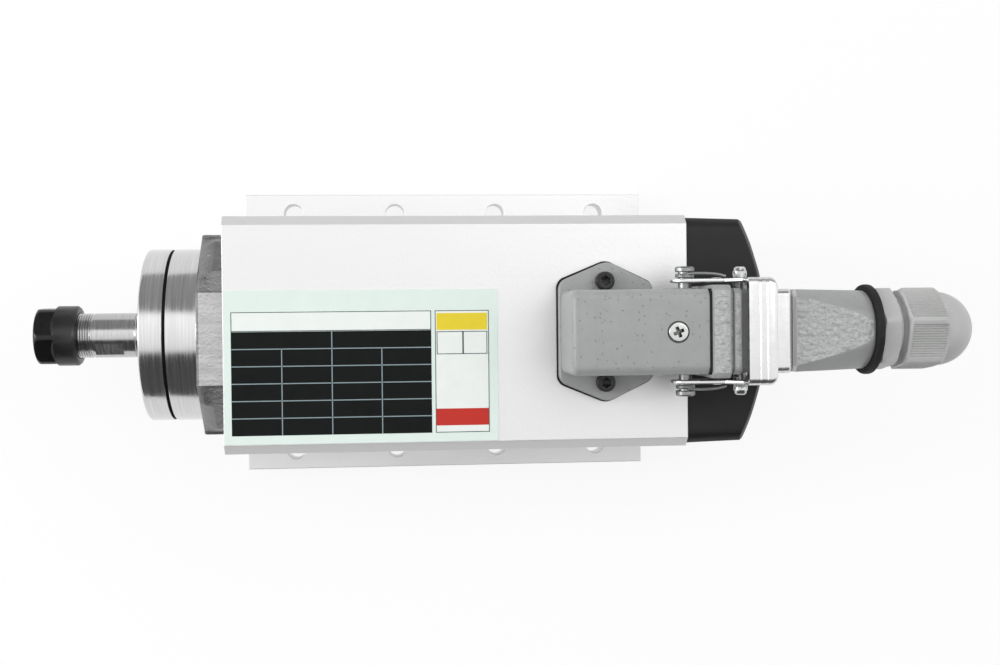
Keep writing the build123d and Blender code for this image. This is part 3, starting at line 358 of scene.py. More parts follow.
def finish(name):
    """The material of a finish, made once."""
    makers = {
        "body_aluminium": anodised_aluminium,
        "cast_aluminium": cast_aluminium,
        # A copy of the cast finish at half brightness: painted shade for the casting's sloping faces
        "shaded_casting": lambda: cast_aluminium("shaded_casting", 0.5),
        "turned_steel": turned_steel,
        "ground_steel": ground_steel,
        "black_steel": blackened_steel,
        "bearing_steel": bearing_steel,
        "lamination": lamination,
        "copper": enamelled_copper,
        "cage_aluminium": cast_aluminium,
        "fan_plastic": lambda: moulded_plastic("fan_plastic", linear("#232324"), 0.3, 0.01, 0.45),
        "cover_plastic": lambda: moulded_plastic("cover_plastic", colours().cover, 0.5, 0.03, 0.55),
        "zinc_screw": lambda: plated_steel("zinc_plated_steel", "#C6C8C6", 0.22),
        "plate_foil": lambda: printed_foil("plate_foil", colours().plate),
        "plate_ink": lambda: printed_foil("plate_ink", linear("#4A5A58")),
        "plate_black": lambda: printed_foil("plate_black", linear("#0B100F")),
        "plate_grey": lambda: printed_foil("plate_grey", linear("#93A3A8")),
        "plate_yellow": lambda: printed_foil("plate_yellow", linear("#E8D23A")),
        "plate_red": lambda: printed_foil("plate_red", linear("#C4372E")),
        "plate_white": lambda: printed_foil("plate_white", linear("#EEF3F0")),
        "black_rubber": nitrile_rubber,
        "grey_enamel": grey_enamel,
        "grained_lit_enamel": grained_lit_enamel,
        "latch_steel": lambda: plated_steel("nickel_plated_sheet", "#D8D8D8", 0.24),
        "dull_zinc": lambda: plated_steel("dull_zinc_plate", "#8E8F8F", 0.32),
        # A light, rough zinc finish: a painted highlight for the hood's front chamfer
        "highlight_zinc": lambda: plated_steel("highlight_zinc", "#E4E4E4", 0.55),
        "insert_plastic": lambda: moulded_plastic("insert_plastic", linear("#8F918D"), 0.3, 0.01, 0.45),
        "gland_plastic": lambda: moulded_plastic("gland_polyamide", colours().gland, 0.4, 0.02, 0.4),
        "lead_plastic": lambda: moulded_plastic("lead_insulation", linear("#3A3A3A"), 0.2, 0.01, 0.4),
    }
    if name not in finishes:
        finishes[name] = makers[name]()
    return finishes[name]


def slot_of(node):
    return next(row["material_slot"] for row in frame["record"]["subparts"] if row["node"] == node)


def place_piece(name, data, node, finish_name=None, extra=(), sharp=32, stands_in=True):
    """Puts a mesh or curve on a CAD node's body, in the node's stead unless it only adds to it."""
    made = bpy.data.objects.new(name, data)
    bpy.context.scene.collection.objects.link(made)
    for one in (finish_name or slot_of(node), *extra):
        data.materials.append(finish(one))
    if made.type == "MESH":
        data.set_sharp_from_angle(angle=math.radians(sharp))
    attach(made, frame["nodes"][node]["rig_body"])
    if stands_in:
        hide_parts(node)
    return made


def paint(piece, slot, chosen):
    """Gives the faces that are chosen by centre and normal another finish of the piece."""
    for face in piece.data.polygons:
        if chosen(face.center, face.normal):
            face.material_index = slot


def shifted(mesh, sideways):
    """A mesh moved along Y by a distance in mm."""
    mesh.transform(Matrix.Translation((0, sideways * mm, 0)))
    return mesh


def to_mesh(shape, name):
    """A smooth-shaded mesh of a bmesh, its faces all turned outwards."""
    bmesh.ops.remove_doubles(shape, verts=shape.verts, dist=0.001 * mm)
    bmesh.ops.recalc_face_normals(shape, faces=shape.faces)
    mesh = bpy.data.meshes.new(name)
    shape.to_mesh(mesh)
    shape.free()
    mesh.shade_smooth()
    return mesh


def skin(name, rings, closed=False):
    """Mesh over rings of points; closed joins the last ring to the first, else both ends are capped."""
    shape = bmesh.new()
    rows = [[shape.verts.new(point) for point in ring] for ring in rings]
    count = len(rows[0])
    pairs = list(zip(rows, rows[1:])) + ([(rows[-1], rows[0])] if closed else [])
    for first, second in pairs:
        for i in range(count):
            shape.faces.new((first[i], first[(i + 1) % count], second[(i + 1) % count], second[i]))
    if not closed:
        shape.faces.new(rows[0])
        shape.faces.new(rows[-1])
    return to_mesh(shape, name)


def spin(name, profile, height=0.0, segments=96, shape=None, axis="X", centre=(0.0, 0.0), angles=None):
    """Closed profile of (along, radius) mm points turned round an axis; shape may press flats or ribs in."""
    rings = []
    angles = angles or [tau * i / segments for i in range(segments)]
    for along, radius in profile:
        ring = []
        for angle in angles:
            reach = (shape(angle, along, radius) if shape else radius) * mm
            a, b = reach * math.sin(angle), reach * math.cos(angle)
            if axis == "X":
                ring.append((station(along), a, height + b))
            elif axis == "Y":
                ring.append((station(centre[0]) + a, along * mm, height + b))
            else:
                ring.append((station(centre[0]) + a, centre[1] * mm + b, height + along * mm))
        rings.append(ring)
    return skin(name, rings, closed=True)


def hexagon(angle, across_flats, turn=0.0):
    """Reach of a hexagon at an angle, its first corner lying turned from the top."""
    return across_flats / 2 / math.cos((angle - turn) % (tau / 6) - tau / 12)


def steps_between(start, end, count):
    """Evenly spaced values from start to end."""
    return [start + (end - start) * i / count for i in range(count + 1)]


def fillet(corner, radius, start, end, steps=4):
    """Arc of (along, radius) points about a centre, between two angles in degrees."""
    return [(corner[0] + radius * math.cos(math.radians(a)), corner[1] + radius * math.sin(math.radians(a)))
            for a in steps_between(start, end, steps)]


def rounded_outline(corners, radii, steps=5):
    """Flat outline with each corner rounded to its own radius."""
    points = []
    count = len(corners)
    for i, radius in enumerate(radii):
        here, before, after = (Vector(corners[j % count]) for j in (i, i - 1, i + 1))
        if radius == 0:
            points.append(tuple(here))
            continue
        back, ahead = (before - here).normalized(), (after - here).normalized()
        half = back.angle(ahead) / 2
        first, last = here + back * radius / math.tan(half), here + ahead * radius / math.tan(half)
        centre = here + (back + ahead).normalized() * radius / math.sin(half)
        swing = (first - centre).angle_signed(last - centre)
        for k in range(steps + 1):
            turn = Matrix.Rotation(-swing * k / steps, 2)
            points.append(tuple(centre + turn @ (first - centre)))
    return points


def slab(name, outline, low, high):
    """Flat plate over an outline of (station, sideways) mm points, between two heights in metres."""
    return skin(name, [[(station(a), b * mm, level) for a, b in outline] for level in (low, high)])


def cuboid(name, start, end, left, right, low, high):
    """Box mesh between mm stations, sideways places and heights in metres."""
    return slab(name, [(start, left), (end, left), (end, right), (start, right)], low, high)


def rounded_ring(along, half, inset, corner, height, steps=6):
    """Ring square to X: a square of half a width, taken in by an inset, with rounded corners."""
    points = []
    side = half - inset
    for k in range(4):
        for angle in steps_between(0, 90, steps):
            turn = math.radians(90 * k + angle)
            quarter = math.radians(90 * k + 45)
            reach = (side - corner) * math.sqrt(2)
            points.append(at(along, reach * math.sin(quarter) + corner * math.sin(turn),
                             reach * math.cos(quarter) + corner * math.cos(turn), height))
    return points


def joined(name, meshes):
    """One mesh out of several, which are forgotten."""
    shape = bmesh.new()
    for mesh in meshes:
        shape.from_mesh(mesh)
        bpy.data.meshes.remove(mesh)
    mesh = bpy.data.meshes.new(name)
    shape.to_mesh(mesh)
    shape.free()
    return mesh


def cut(piece, *cutters):
    """Cuts other meshes out of a piece and forgets them."""
    tool = bpy.data.objects.new("cutter", joined("cutter", cutters))
    bpy.context.scene.collection.objects.link(tool)
    step = piece.modifiers.new("cut", "BOOLEAN")
    step.object = tool
    step.operation = "DIFFERENCE"
    step.solver = "EXACT"
    bpy.context.view_layer.update()
    seen = piece.evaluated_get(bpy.context.evaluated_depsgraph_get())
    result = bpy.data.meshes.new_from_object(seen)
    piece.modifiers.clear()
    old = piece.data
    piece.data = result
    bpy.data.meshes.remove(old)
    used = tool.data
    bpy.data.objects.remove(tool)
    bpy.data.meshes.remove(used)
    result.shade_smooth()
    result.set_sharp_from_angle(angle=math.radians(32))
    if not len(result.polygons):
        raise RuntimeError(f"nothing is left of {piece.name}")
    return piece


def break_edges(piece, width, segments=2, angle=32):
    """Rounds a piece's sharp edges by modifiers, which leave its mesh as it is."""
    weld = piece.modifiers.new("join_corners", "WELD")
    weld.merge_threshold = 0.002 * mm
    bevel = piece.modifiers.new("edge_break", "BEVEL")
    bevel.width = width
    bevel.segments = segments
    bevel.limit_method = "ANGLE"
    bevel.angle_limit = math.radians(angle)
    bevel.use_clamp_overlap = True
    even = piece.modifiers.new("flat_faces", "WEIGHTED_NORMAL")
    even.weight = 100
    even.keep_sharp = False
    return piece


def coat(*names, edge=0.0):
    """Gives CAD nodes the finish of their own slot."""
    for name in names:
        node = frame["nodes"][name]
        node.data.materials.clear()
        node.data.materials.append(finish(slot_of(name)))
        if edge:
            break_edges(node, edge)


class SPINDLE_OT_housing(bpy.types.Operator):
    """Finishes the body extrusion, casts the front shield and turns its nose and the bearing cap"""
    bl_idname = "spindle.housing"
    bl_label = "Housing"

    def execute(self, context):
        coat("body_extrusion")
        coat("rear_end_shield")
        self.casting()
        self.cap()
        return {"FINISHED"}

    def casting(self):
        """Die-cast plate with four raised pads, its corners drawn back at the front, and the turned nose."""
        front, nose_front, bore, nose = -8.3, -18.2, 13.0, 27.0
        # Depth behind the front, how far the edge is softened there and how far the corners are drawn back
        steps = ((0.0, 0.5, 3.6), (0.2, 0.15, 3.1), (0.8, 0.0, 2.4), (1.8, 0.0, 1.5), (3.2, 0.0, 0.6),
                 (4.6, 0.0, 0.0), (-front, 0.0, 0.0))
        rings = [self.outline(front + depth, soft, corner) for depth, soft, corner in steps]
        casting = place_piece("shield_casting", skin("shield_casting", rings), "front_end_shield",
                              extra=("shaded_casting",), sharp=15)
        # Faces not square to an axis, the sloping ones, take the darker copy as painted shade
        straight = 0.985
        paint(casting, 1, lambda centre, normal: max(map(abs, normal)) < straight)
        profile = [(nose_front, bore), (nose_front, nose - 0.6), (nose_front + 0.35, nose - 0.1),
                   (nose_front + 0.7, nose), (front - 0.5, nose), (front + 0.2, nose + 0.5),
                   (front + 0.2, bore)]
        place_piece("shield_nose", spin("shield_nose", profile, shaft_height, 160), "front_end_shield",
                    "turned_steel")

    def outline(self, place, soft, corner):
        """Ring of the casting: four raised pads with sloping faces between; soft and corner draw them in."""
        pad_half, pad, face, step = 13.7, 30.7 - soft, 29.9 - soft, 0.25
        bend_in, bend_out = 20.1 - 0.3 * corner, 28.4 - corner
        top_pad, top_shift = 25, 1.0
        side = [(pad_half, pad), (pad_half + step, face), (bend_in, bend_out)]
        quarter = side + [(z, y) for y, z in side[::-1]]
        points = []
        for k in range(4):
            turn = Matrix.Rotation(-tau / 4 * k, 2)
            points += [tuple(turn @ Vector(point)) for point in quarter]
        return [at(place, y - top_shift * (z > top_pad), z, shaft_height) for y, z in points]

    def cap(self):
        """Turned cap with four pin-spanner holes, and the groove between it and the nose, its faces black as
        painted shade.
        """
        front, back, lip, rim, edge, groove, groove_depth = -26.0, -18.2, 8.3, 27.0, 0.8, 0.6, 1.2
        groove_start, groove_floor = back - groove, rim - groove_depth
        profile = [(front + 0.3, lip), (front, lip + 0.3), *fillet((front + edge, rim - edge), edge, 180, 90),
                   (groove_start - 0.1, rim), (groove_start, rim - 0.2), (groove_start, groove_floor),
                   (back, groove_floor), (back, lip)]
        cap = place_piece("bearing_cap", spin("bearing_cap", profile, shaft_height, 160), "front_bearing_cap",
                          extra=("black_rubber",))
        ring, radius, depth, chamfer = 18.5, 2.0, 3.0, 0.3
        hole = [(front - 1, 0), (front - 1, radius + chamfer), (front, radius + chamfer),
                (front + chamfer, radius), (front + depth, radius), (front + depth, 0)]
        cut(cap, *[shifted(spin("spanner_hole", hole, shaft_height + ring * mm * math.cos(angle), 24),
                           ring * math.sin(angle)) for angle in steps_between(0, tau, 4)[:-1]])
        # The groove's faces take the black rubber finish: painted shade in the groove
        paint(cap, 1, lambda centre, normal: centre.x > station(groove_start - 0.02)
              and math.hypot(centre.y, centre.z - shaft_height) > (groove_floor - 0.8) * mm)


class SPINDLE_OT_inner_works(bpy.types.Operator):
    """Finishes the pieces inside the housing"""
    bl_idname = "spindle.inner_works"
    bl_label = "Inner works"

    def execute(self, context):
        coat("stator_core", "stator_windings", "rotor_core", "rotor_cage", "bearing_outer_rings",
             "bearing_inner_rings", "ball_sets", "preload_spring", "fan", "tie_bolts", "motor_leads",
             "socket_insert", "socket_contacts", "pin_insert", "pin_contacts", "hood_seal", "gland_seal")
        return {"FINISHED"}


def threads(start, end, crest, depth, pitch):
    """Profile points of a thread between two stations, as a row of crests and roots."""
    count = round((end - start) / pitch)
    points = []
    for i in range(count):
        place = start + i * (end - start) / count
        points += [(place, crest - depth), (place + pitch * 0.35, crest), (place + pitch * 0.6, crest)]
    return points + [(end, crest - depth)]


class SPINDLE_OT_nose(bpy.types.Operator):
    """Turns the shaft with its thread and wrench flats, the slit collet and the collet nut"""
    bl_idname = "spindle.nose"
    bl_label = "Nose"

    def execute(self, context):
        self.shaft()
        self.collet()
        self.nut()
        return {"FINISHED"}

    def shaft(self):
        """Shaft: thread, groove, wrench flats and running seats outside, and the bore for the collet."""
        flat_start, flat_end, flat_reach, hair = -42.6, -34.0, 6.5, 0.01
        flat_turns = [math.radians(turn) for turn in (-41, 139)]

        def shape(angle, along, radius):
            if radius > flat_reach and flat_start < along < flat_end:
                for turn in flat_turns:
                    slope = math.cos(angle - turn)
                    if slope > 0:
                        radius = min(radius, flat_reach / slope)
            return radius

        nose, seat, core, tail, bore = 7.0, 7.5, 9.0, 4.0, 3.5
        front, thread_end, seal, front_seat_end = -58.2, -43.9, -30.2, -1.0
        core_end, tail_start, end = 126.0, 135.0, 158.0
        profile = [(front, 5.5), (front, nose - 0.4), (front + 0.4, nose),
                   *threads(front + 0.8, thread_end, nose, 0.42, sizes().nut_pitch / mm),
                   (thread_end + 0.4, nose - 0.42), (thread_end + 0.6, nose)]
        profile += [(edge + side * hair, nose) for edge in (flat_start, flat_end) for side in (-1, 1)]
        profile += [(seal - 0.3, nose), (seal, nose - 0.2), (seal, nose + 0.2), (seal + 0.3, seat),
                    (front_seat_end, seat), (front_seat_end, core), (core_end, core), (core_end, seat),
                    (tail_start, seat), (tail_start, tail), (end - 0.4, tail), (end, tail - 0.4), (end, 0.0),
                    (-18.2, 0.0), (-18.2, bore), (thread_end, bore)]
        place_piece("spindle_shaft", spin("spindle_shaft", profile, shaft_height, 128, shape), "shaft")

    def collet(self):
        """Sleeve with a front cone, a groove and a long back cone, slit from both ends in turn."""
        low, high = box["collet"]
        set_back = 2.1
        front, back = (low.x - front_face) / mm + set_back, (high.x - front_face) / mm
        profile = [(front + 0.3, 3.0), (front, 3.3), (front, 4.1), (front + 2.08, 5.3), (front + 2.08, 4.7),
                   (front + 3.08, 4.7), (front + 3.08, 5.6), (back, 3.55), (back, 3.0)]
        count, slit, mean_radius, bridge = 8, 0.6, 4.4, 2.5
        half_slit = slit / 2 / mean_radius
        shape = bmesh.new()
        for i in range(count):
            ends = (back - bridge, back) if i % 2 else (front, front + bridge)
            for part, (near, far) in enumerate(((front, back), ends)):
                middle = tau * (i + 0.5 * part) / count
                half = half_slit if part else tau / 2 / count - half_slit
                inside = [(min(max(a, near), far), r) for a, r in profile]
                rows = []
                for angle in steps_between(middle - half, middle + half, 2 if part else 6):
                    rows.append([shape.verts.new((station(a), r * mm * math.sin(angle),
                                                  shaft_height + r * mm * math.cos(angle)))
                                 for a, r in inside])
                for first, second in zip(rows, rows[1:]):
                    for j in range(len(inside)):
                        shape.faces.new((first[j - 1], first[j], second[j], second[j - 1]))
                if not part:
                    shape.faces.new(rows[0])
                    shape.faces.new(rows[-1])
        place_piece("collet_sleeve", to_mesh(shape, "collet_sleeve"), "collet")

    def nut(self):
        """Collet nut: a hexagon with a rounded front that runs through a cone into a round collar."""
        front, hex_end, round_start, back = -60.8, -56.0, -54.4, -48.0
        flats, outside, edge, turn = 17.0, 9.4, 1.8, math.radians(-3)
        inside_ends, cone_start, cone_rise = 7.5, 8.0, 1.5
        mouth, thread, seat = 4.2, 7.06, 5.45

        def shape(angle, along, radius):
            if radius < inside_ends:
                return radius
            reach = hexagon(angle, flats, turn)
            if along > hex_end:
                reach = max(reach, cone_start + cone_rise * (along - hex_end) / (round_start - hex_end))
            return min(radius, reach)

        profile = [(front + 0.25, mouth), (front, mouth + 0.25), (front, outside - edge),
                   *fillet((front + edge, outside - edge), edge, 180, 90, 9)]
        profile += [(place, outside) for place in steps_between(front + 2.0, hex_end, 6)]
        profile += [(place, outside) for place in steps_between(hex_end + 0.1, round_start, 12)]
        profile += [(back - 0.8, outside), (back - 0.15, outside - 0.5), (back, outside - 0.8),
                    (back, thread + 0.29), (back - 0.3, thread), (front + 2.3, thread), (front + 2.3, seat)]
        place_piece("clamping_nut", spin("clamping_nut", profile, shaft_height, 144, shape), "collet_nut")


class SPINDLE_OT_cover(bpy.types.Operator):
    """Moulds the square cover with its domed end, grille slots and bolt recesses"""
    bl_idname = "spindle.cover"
    bl_label = "Rear cover"

    def execute(self, context):
        front, dome_start, end, wall, room = 138.3, 152.0, 165.8, 4.8, 26.5
        dome, dome_centre = 80.0, 89.5
        half, corner, taper = 34.3, 2.4, math.tan(math.radians(1.5))
        inner_half, inner_corner, inner_end, room_end = 31.9, 2.7, end - wall, 149.0
        # A radius past one of these marks stands for the domed square outside or the square inside
        outside, inside = 60, 40

        def square(angle, half, corner):
            side = half / max(abs(math.sin(angle)), abs(math.cos(angle)))
            return min(side, (2 * half - corner) / (abs(math.sin(angle)) + abs(math.cos(angle))))

        def shape(angle, along, radius):
            if radius > outside:
                return min(radius - outside, square(angle, half - taper * (along - front), corner))
            return square(angle, inner_half, inner_corner) if radius > inside else radius

        places = steps_between(front, dome_start, 3) + steps_between(dome_start + 0.4, end - 0.35, 32)
        profile = [(place, outside + math.sqrt(dome ** 2 - (place - dome_centre) ** 2)) for place in places]
        profile += [(end - 0.1, outside + 23.9), (end, 23.6), (end, 21.5), (end, 0), (inner_end, 0),
                    (inner_end, room), (room_end, room), (room_end, inside + 10), (front, inside + 10)]
        cover = place_piece("fan_cover", spin("fan_cover", profile, shaft_height, 240, shape), "rear_cover")
        cutters = []
        slot_spacing, slot_half, grille = 5.2, 1.2, 21.0
        for i in range(-3, 4):
            level = slot_spacing * i
            reach = math.sqrt(grille ** 2 - level ** 2)
            low, high = (shaft_height + (level + up) * mm for up in (-slot_half, slot_half))
            cutters.append(cuboid("slot", inner_end - 2, end + 2, -reach, reach, low, high))
        bolt, recess_floor, recess, past = 22.3, 157.2, 4.3, 175
        hole = [(recess_floor, 0), (recess_floor, recess), (past, recess), (past, 0)]
        for side in (-1, 1):
            for up in (-1, 1):
                cutters.append(shifted(spin("recess", hole, shaft_height + bolt * up * mm, 32), bolt * side))
        cut(cover, *cutters)
        return {"FINISHED"}


class SPINDLE_OT_plate(bpy.types.Operator):
    """Prints the data plate: blank ruled table, title box and side panel with two coloured bars"""
    bl_idname = "spindle.plate"
    bl_label = "Data plate"

    def execute(self, context):
        low, high = box["data_plate"]
        start, end, near, far = 0.3, 80.5, -32.0, 13.1
        outline = rounded_outline([(start, near), (end, near), (end, far), (start, far)], (0.6,) * 4, 3)
        foil = place_piece("plate_ground", slab("plate_ground", outline, low.z, high.z), "data_plate")
        break_edges(foil, 0.08 * mm)
        left, middle, right, edge = 2.4, 60.8, 61.9, 77.9
        top, title, bottom, margin = 6.8, 1.1, -29.4, 0.5
        rule = sizes().rule / mm
        self.lay("plate_table", "plate_black", 0, [(left, middle, bottom, title - 0.1)])
        self.lay("plate_fields", "plate_white", 0, [(left, middle, title, top), (right, edge, bottom, top)])
        rows = steps_between(bottom, title - 0.1, 6)
        strips = [(left, middle, y - rule / 2, y + rule / 2) for y in rows[1:-1]]
        quarter = (middle - left) / 4
        strips += [(left + quarter * k - rule / 2, left + quarter * k + rule / 2, bottom,
                    rows[-1] if k == 2 else rows[-2]) for k in (1, 2, 3)]
        self.lay("plate_rules", "plate_grey", 1, strips)
        split, boxes_low, boxes_high = 70.2, -6.2, 0.6
        borders = self.border(left, middle, title, top) + self.border(right, edge, bottom, top)
        borders += self.border(right + margin, split, boxes_low, boxes_high)
        borders += self.border(split, edge - margin, boxes_low, boxes_high)
        self.lay("plate_borders", "plate_ink", 1, borders)
        self.lay("plate_yellow_bar", "plate_yellow", 1, [(right + margin, edge - margin, 1.0, 6.0)])
        self.lay("plate_red_bar", "plate_red", 1, [(right + 0.2, edge - 0.2, -27.3, -22.3)])
        return {"FINISHED"}

    def border(self, start, end, low, high):
        """Four thin strips round a rectangle."""
        width = 0.8 * sizes().rule / mm
        return [(start, end, low, low + width), (start, end, high - width, high),
                (start, start + width, low, high), (end - width, end, low, high)]

    def lay(self, name, ink, layer, strips):
        """One ink of the print: thin rectangles just above the plate's face."""
        thickness = 0.03 * mm
        low = box["data_plate"][1].z + (layer + 0.3) * thickness
        parts = [cuboid(name, *strip, low, low + thickness) for strip in strips]
        place_piece(name, joined(name, parts), "data_plate", ink, stands_in=False)


# The connector's places along the spindle and sizes that several of its pieces share
pivot_place = 133.8
cross_screw_place = 129.0
foot_thickness = 3.5
lever_outside = 15.2
sides = ((-1, "near"), (1, "far"))


def crosswise(name, side, profile, segments, place, up=0.0):
    """A profile of (outward, radius) points turned round an axis across the plug, on one side of it."""
    mirrored = [(side * out, radius) for out, radius in profile]
    return spin(name, mirrored, plug_height + up * mm, segments, axis="Y", centre=(place, 0))


class SPINDLE_OT_connector(bpy.types.Operator):
    """Casts the connector's base and sets its gasket and screws"""
    bl_idname = "spindle.connector"
    bl_label = "Connector base"

    def execute(self, context):
        self.foot()
        self.tube()
        self.screws()
        return {"FINISHED"}

    def foot(self):
        """The foot and the gasket under it, whose edge shows all round."""
        bottom, top = (corner.z for corner in box["connector_gasket"])
        front, middle, rear, front_half, middle_half, rear_half = 98.6, 113.0, 126.7, 14.9, 21.0, 14.2
        foot_top = top + foot_thickness * mm
        for name, node, grow, low, high in (("base_gasket", "connector_gasket", 0.45, bottom, top),
                                            ("base_foot", "connector_base", 0.0, top, foot_top)):
            side = [(front - grow, front_half + grow), (middle, middle_half + grow),
                    (rear + grow, rear_half + grow)]
            corners = [(a, -b) for a, b in side] + side[::-1]
            outline = rounded_outline(corners, (3.5, 4.5, 2.5, 2.5, 4.5, 3.5))
            break_edges(place_piece(name, slab(name, outline, low, high), node), 0.4 * mm, 3)

    def tube(self):
        """Square tube with a soft closed front, an open mouth, a recess for the screw and two bosses."""
        front, mouth, wall, soft, corner, half = 99.0, 138.2, 2.0, 1.6, 2.8, 12.1
        front_wall, rim, inner_corner = 4.5, 0.3, 0.6
        places = [(front + soft * (1 - math.cos(turn)), soft * (1 - math.sin(turn)), corner)
                  for turn in steps_between(0, tau / 4, 6)]
        places += [(mouth - rim, 0, corner), (mouth, rim, corner - rim), (mouth, wall, inner_corner),
                   (front + front_wall, wall, inner_corner)]
        rings = [rounded_ring(place, half, inset, rounding, plug_height) for place, inset, rounding in places]
        tube = place_piece("base_tube", skin("base_tube", rings), "connector_base")
        radius, depth, bevel = 3.15, 1.3, 0.35
        recess = spin("recess", [(-depth, 0), (-depth, radius), (0.0, radius), (0.3, radius + bevel),
                                 (2.0, radius + bevel), (2.0, 0)],
                      plug_height + half * mm, 40, axis="Z", centre=(cross_screw_place, 0))
        cut(tube, recess)
        boss = [(half - 0.5, 0), (half - 0.5, 3.5), (half + 0.15, 3.5), (half + 0.4, 3.2), (half + 0.4, 0)]
        for side, word in sides:
            name = "pivot_boss_" + word
            place_piece(name, crosswise(name, side, boss, 48, pivot_place), "connector_base")

    def screws(self):
        """Two socket cap screws through the foot, and the cross-head screw in the tube's top."""
        foot_top = box["connector_gasket"][1].z + foot_thickness * mm
        socket_flats, place, spacing = 2.5, 112.0, 30.0
        head, high, soft, shank, tip = 2.75, 3.0, 0.3, 1.45, -9.0

        def socket(angle, along, radius):
            return hexagon(angle, socket_flats) if 1.4 < radius < 1.46 else radius

        profile = [(tip, 0), (tip, shank), (0.0, shank), (0.0, head - 0.1), (0.15, head),
                   *fillet((high - soft, head - soft), soft, 90, 0), (high, 1.6), (high - 0.1, shank),
                   (1.3, shank), (0.8, 0)]
        for side, word in sides:
            name = "cap_screw_" + word
            place_piece(name, spin(name, profile, foot_top, 48, socket, "Z", (place, spacing / 2 * side)),
                        "base_screws")

        wing, slot_half, reach = 1.6, 0.5, 1.55

        def cross(angle, along, radius):
            if not 1.5 < radius < 1.6:
                return radius
            off = (angle + tau / 16) % (tau / 4)
            off = min(off, tau / 4 - off)
            return min(wing, slot_half / max(math.sin(off), 0.01)) * (1.0 if along > -0.5 else 0.8)

        top = box["insert_screw"][1].z
        profile = [(-6.9, 0), (-6.9, 1.4), (-1.3, 1.4), (-1.3, 2.7), (-0.4, 2.8),
                   *fillet((-0.35, 2.45), 0.35, 90, 0), (0.0, reach), (-1.9, reach), (-2.2, 0)]
        screw = spin("cross_screw", profile, top, 96, cross, "Z", (cross_screw_place, 0))
        screw = place_piece("cross_screw", screw, "insert_screw", extra=("black_steel",))
        middle = station(cross_screw_place)
        # Faces inside the cross recess take the black steel finish: painted shade in the recess
        paint(screw, 1, lambda centre, normal: centre.z < top - 0.05 * mm
              and math.hypot(centre.x - middle, centre.y) < (wing + 0.02) * mm)


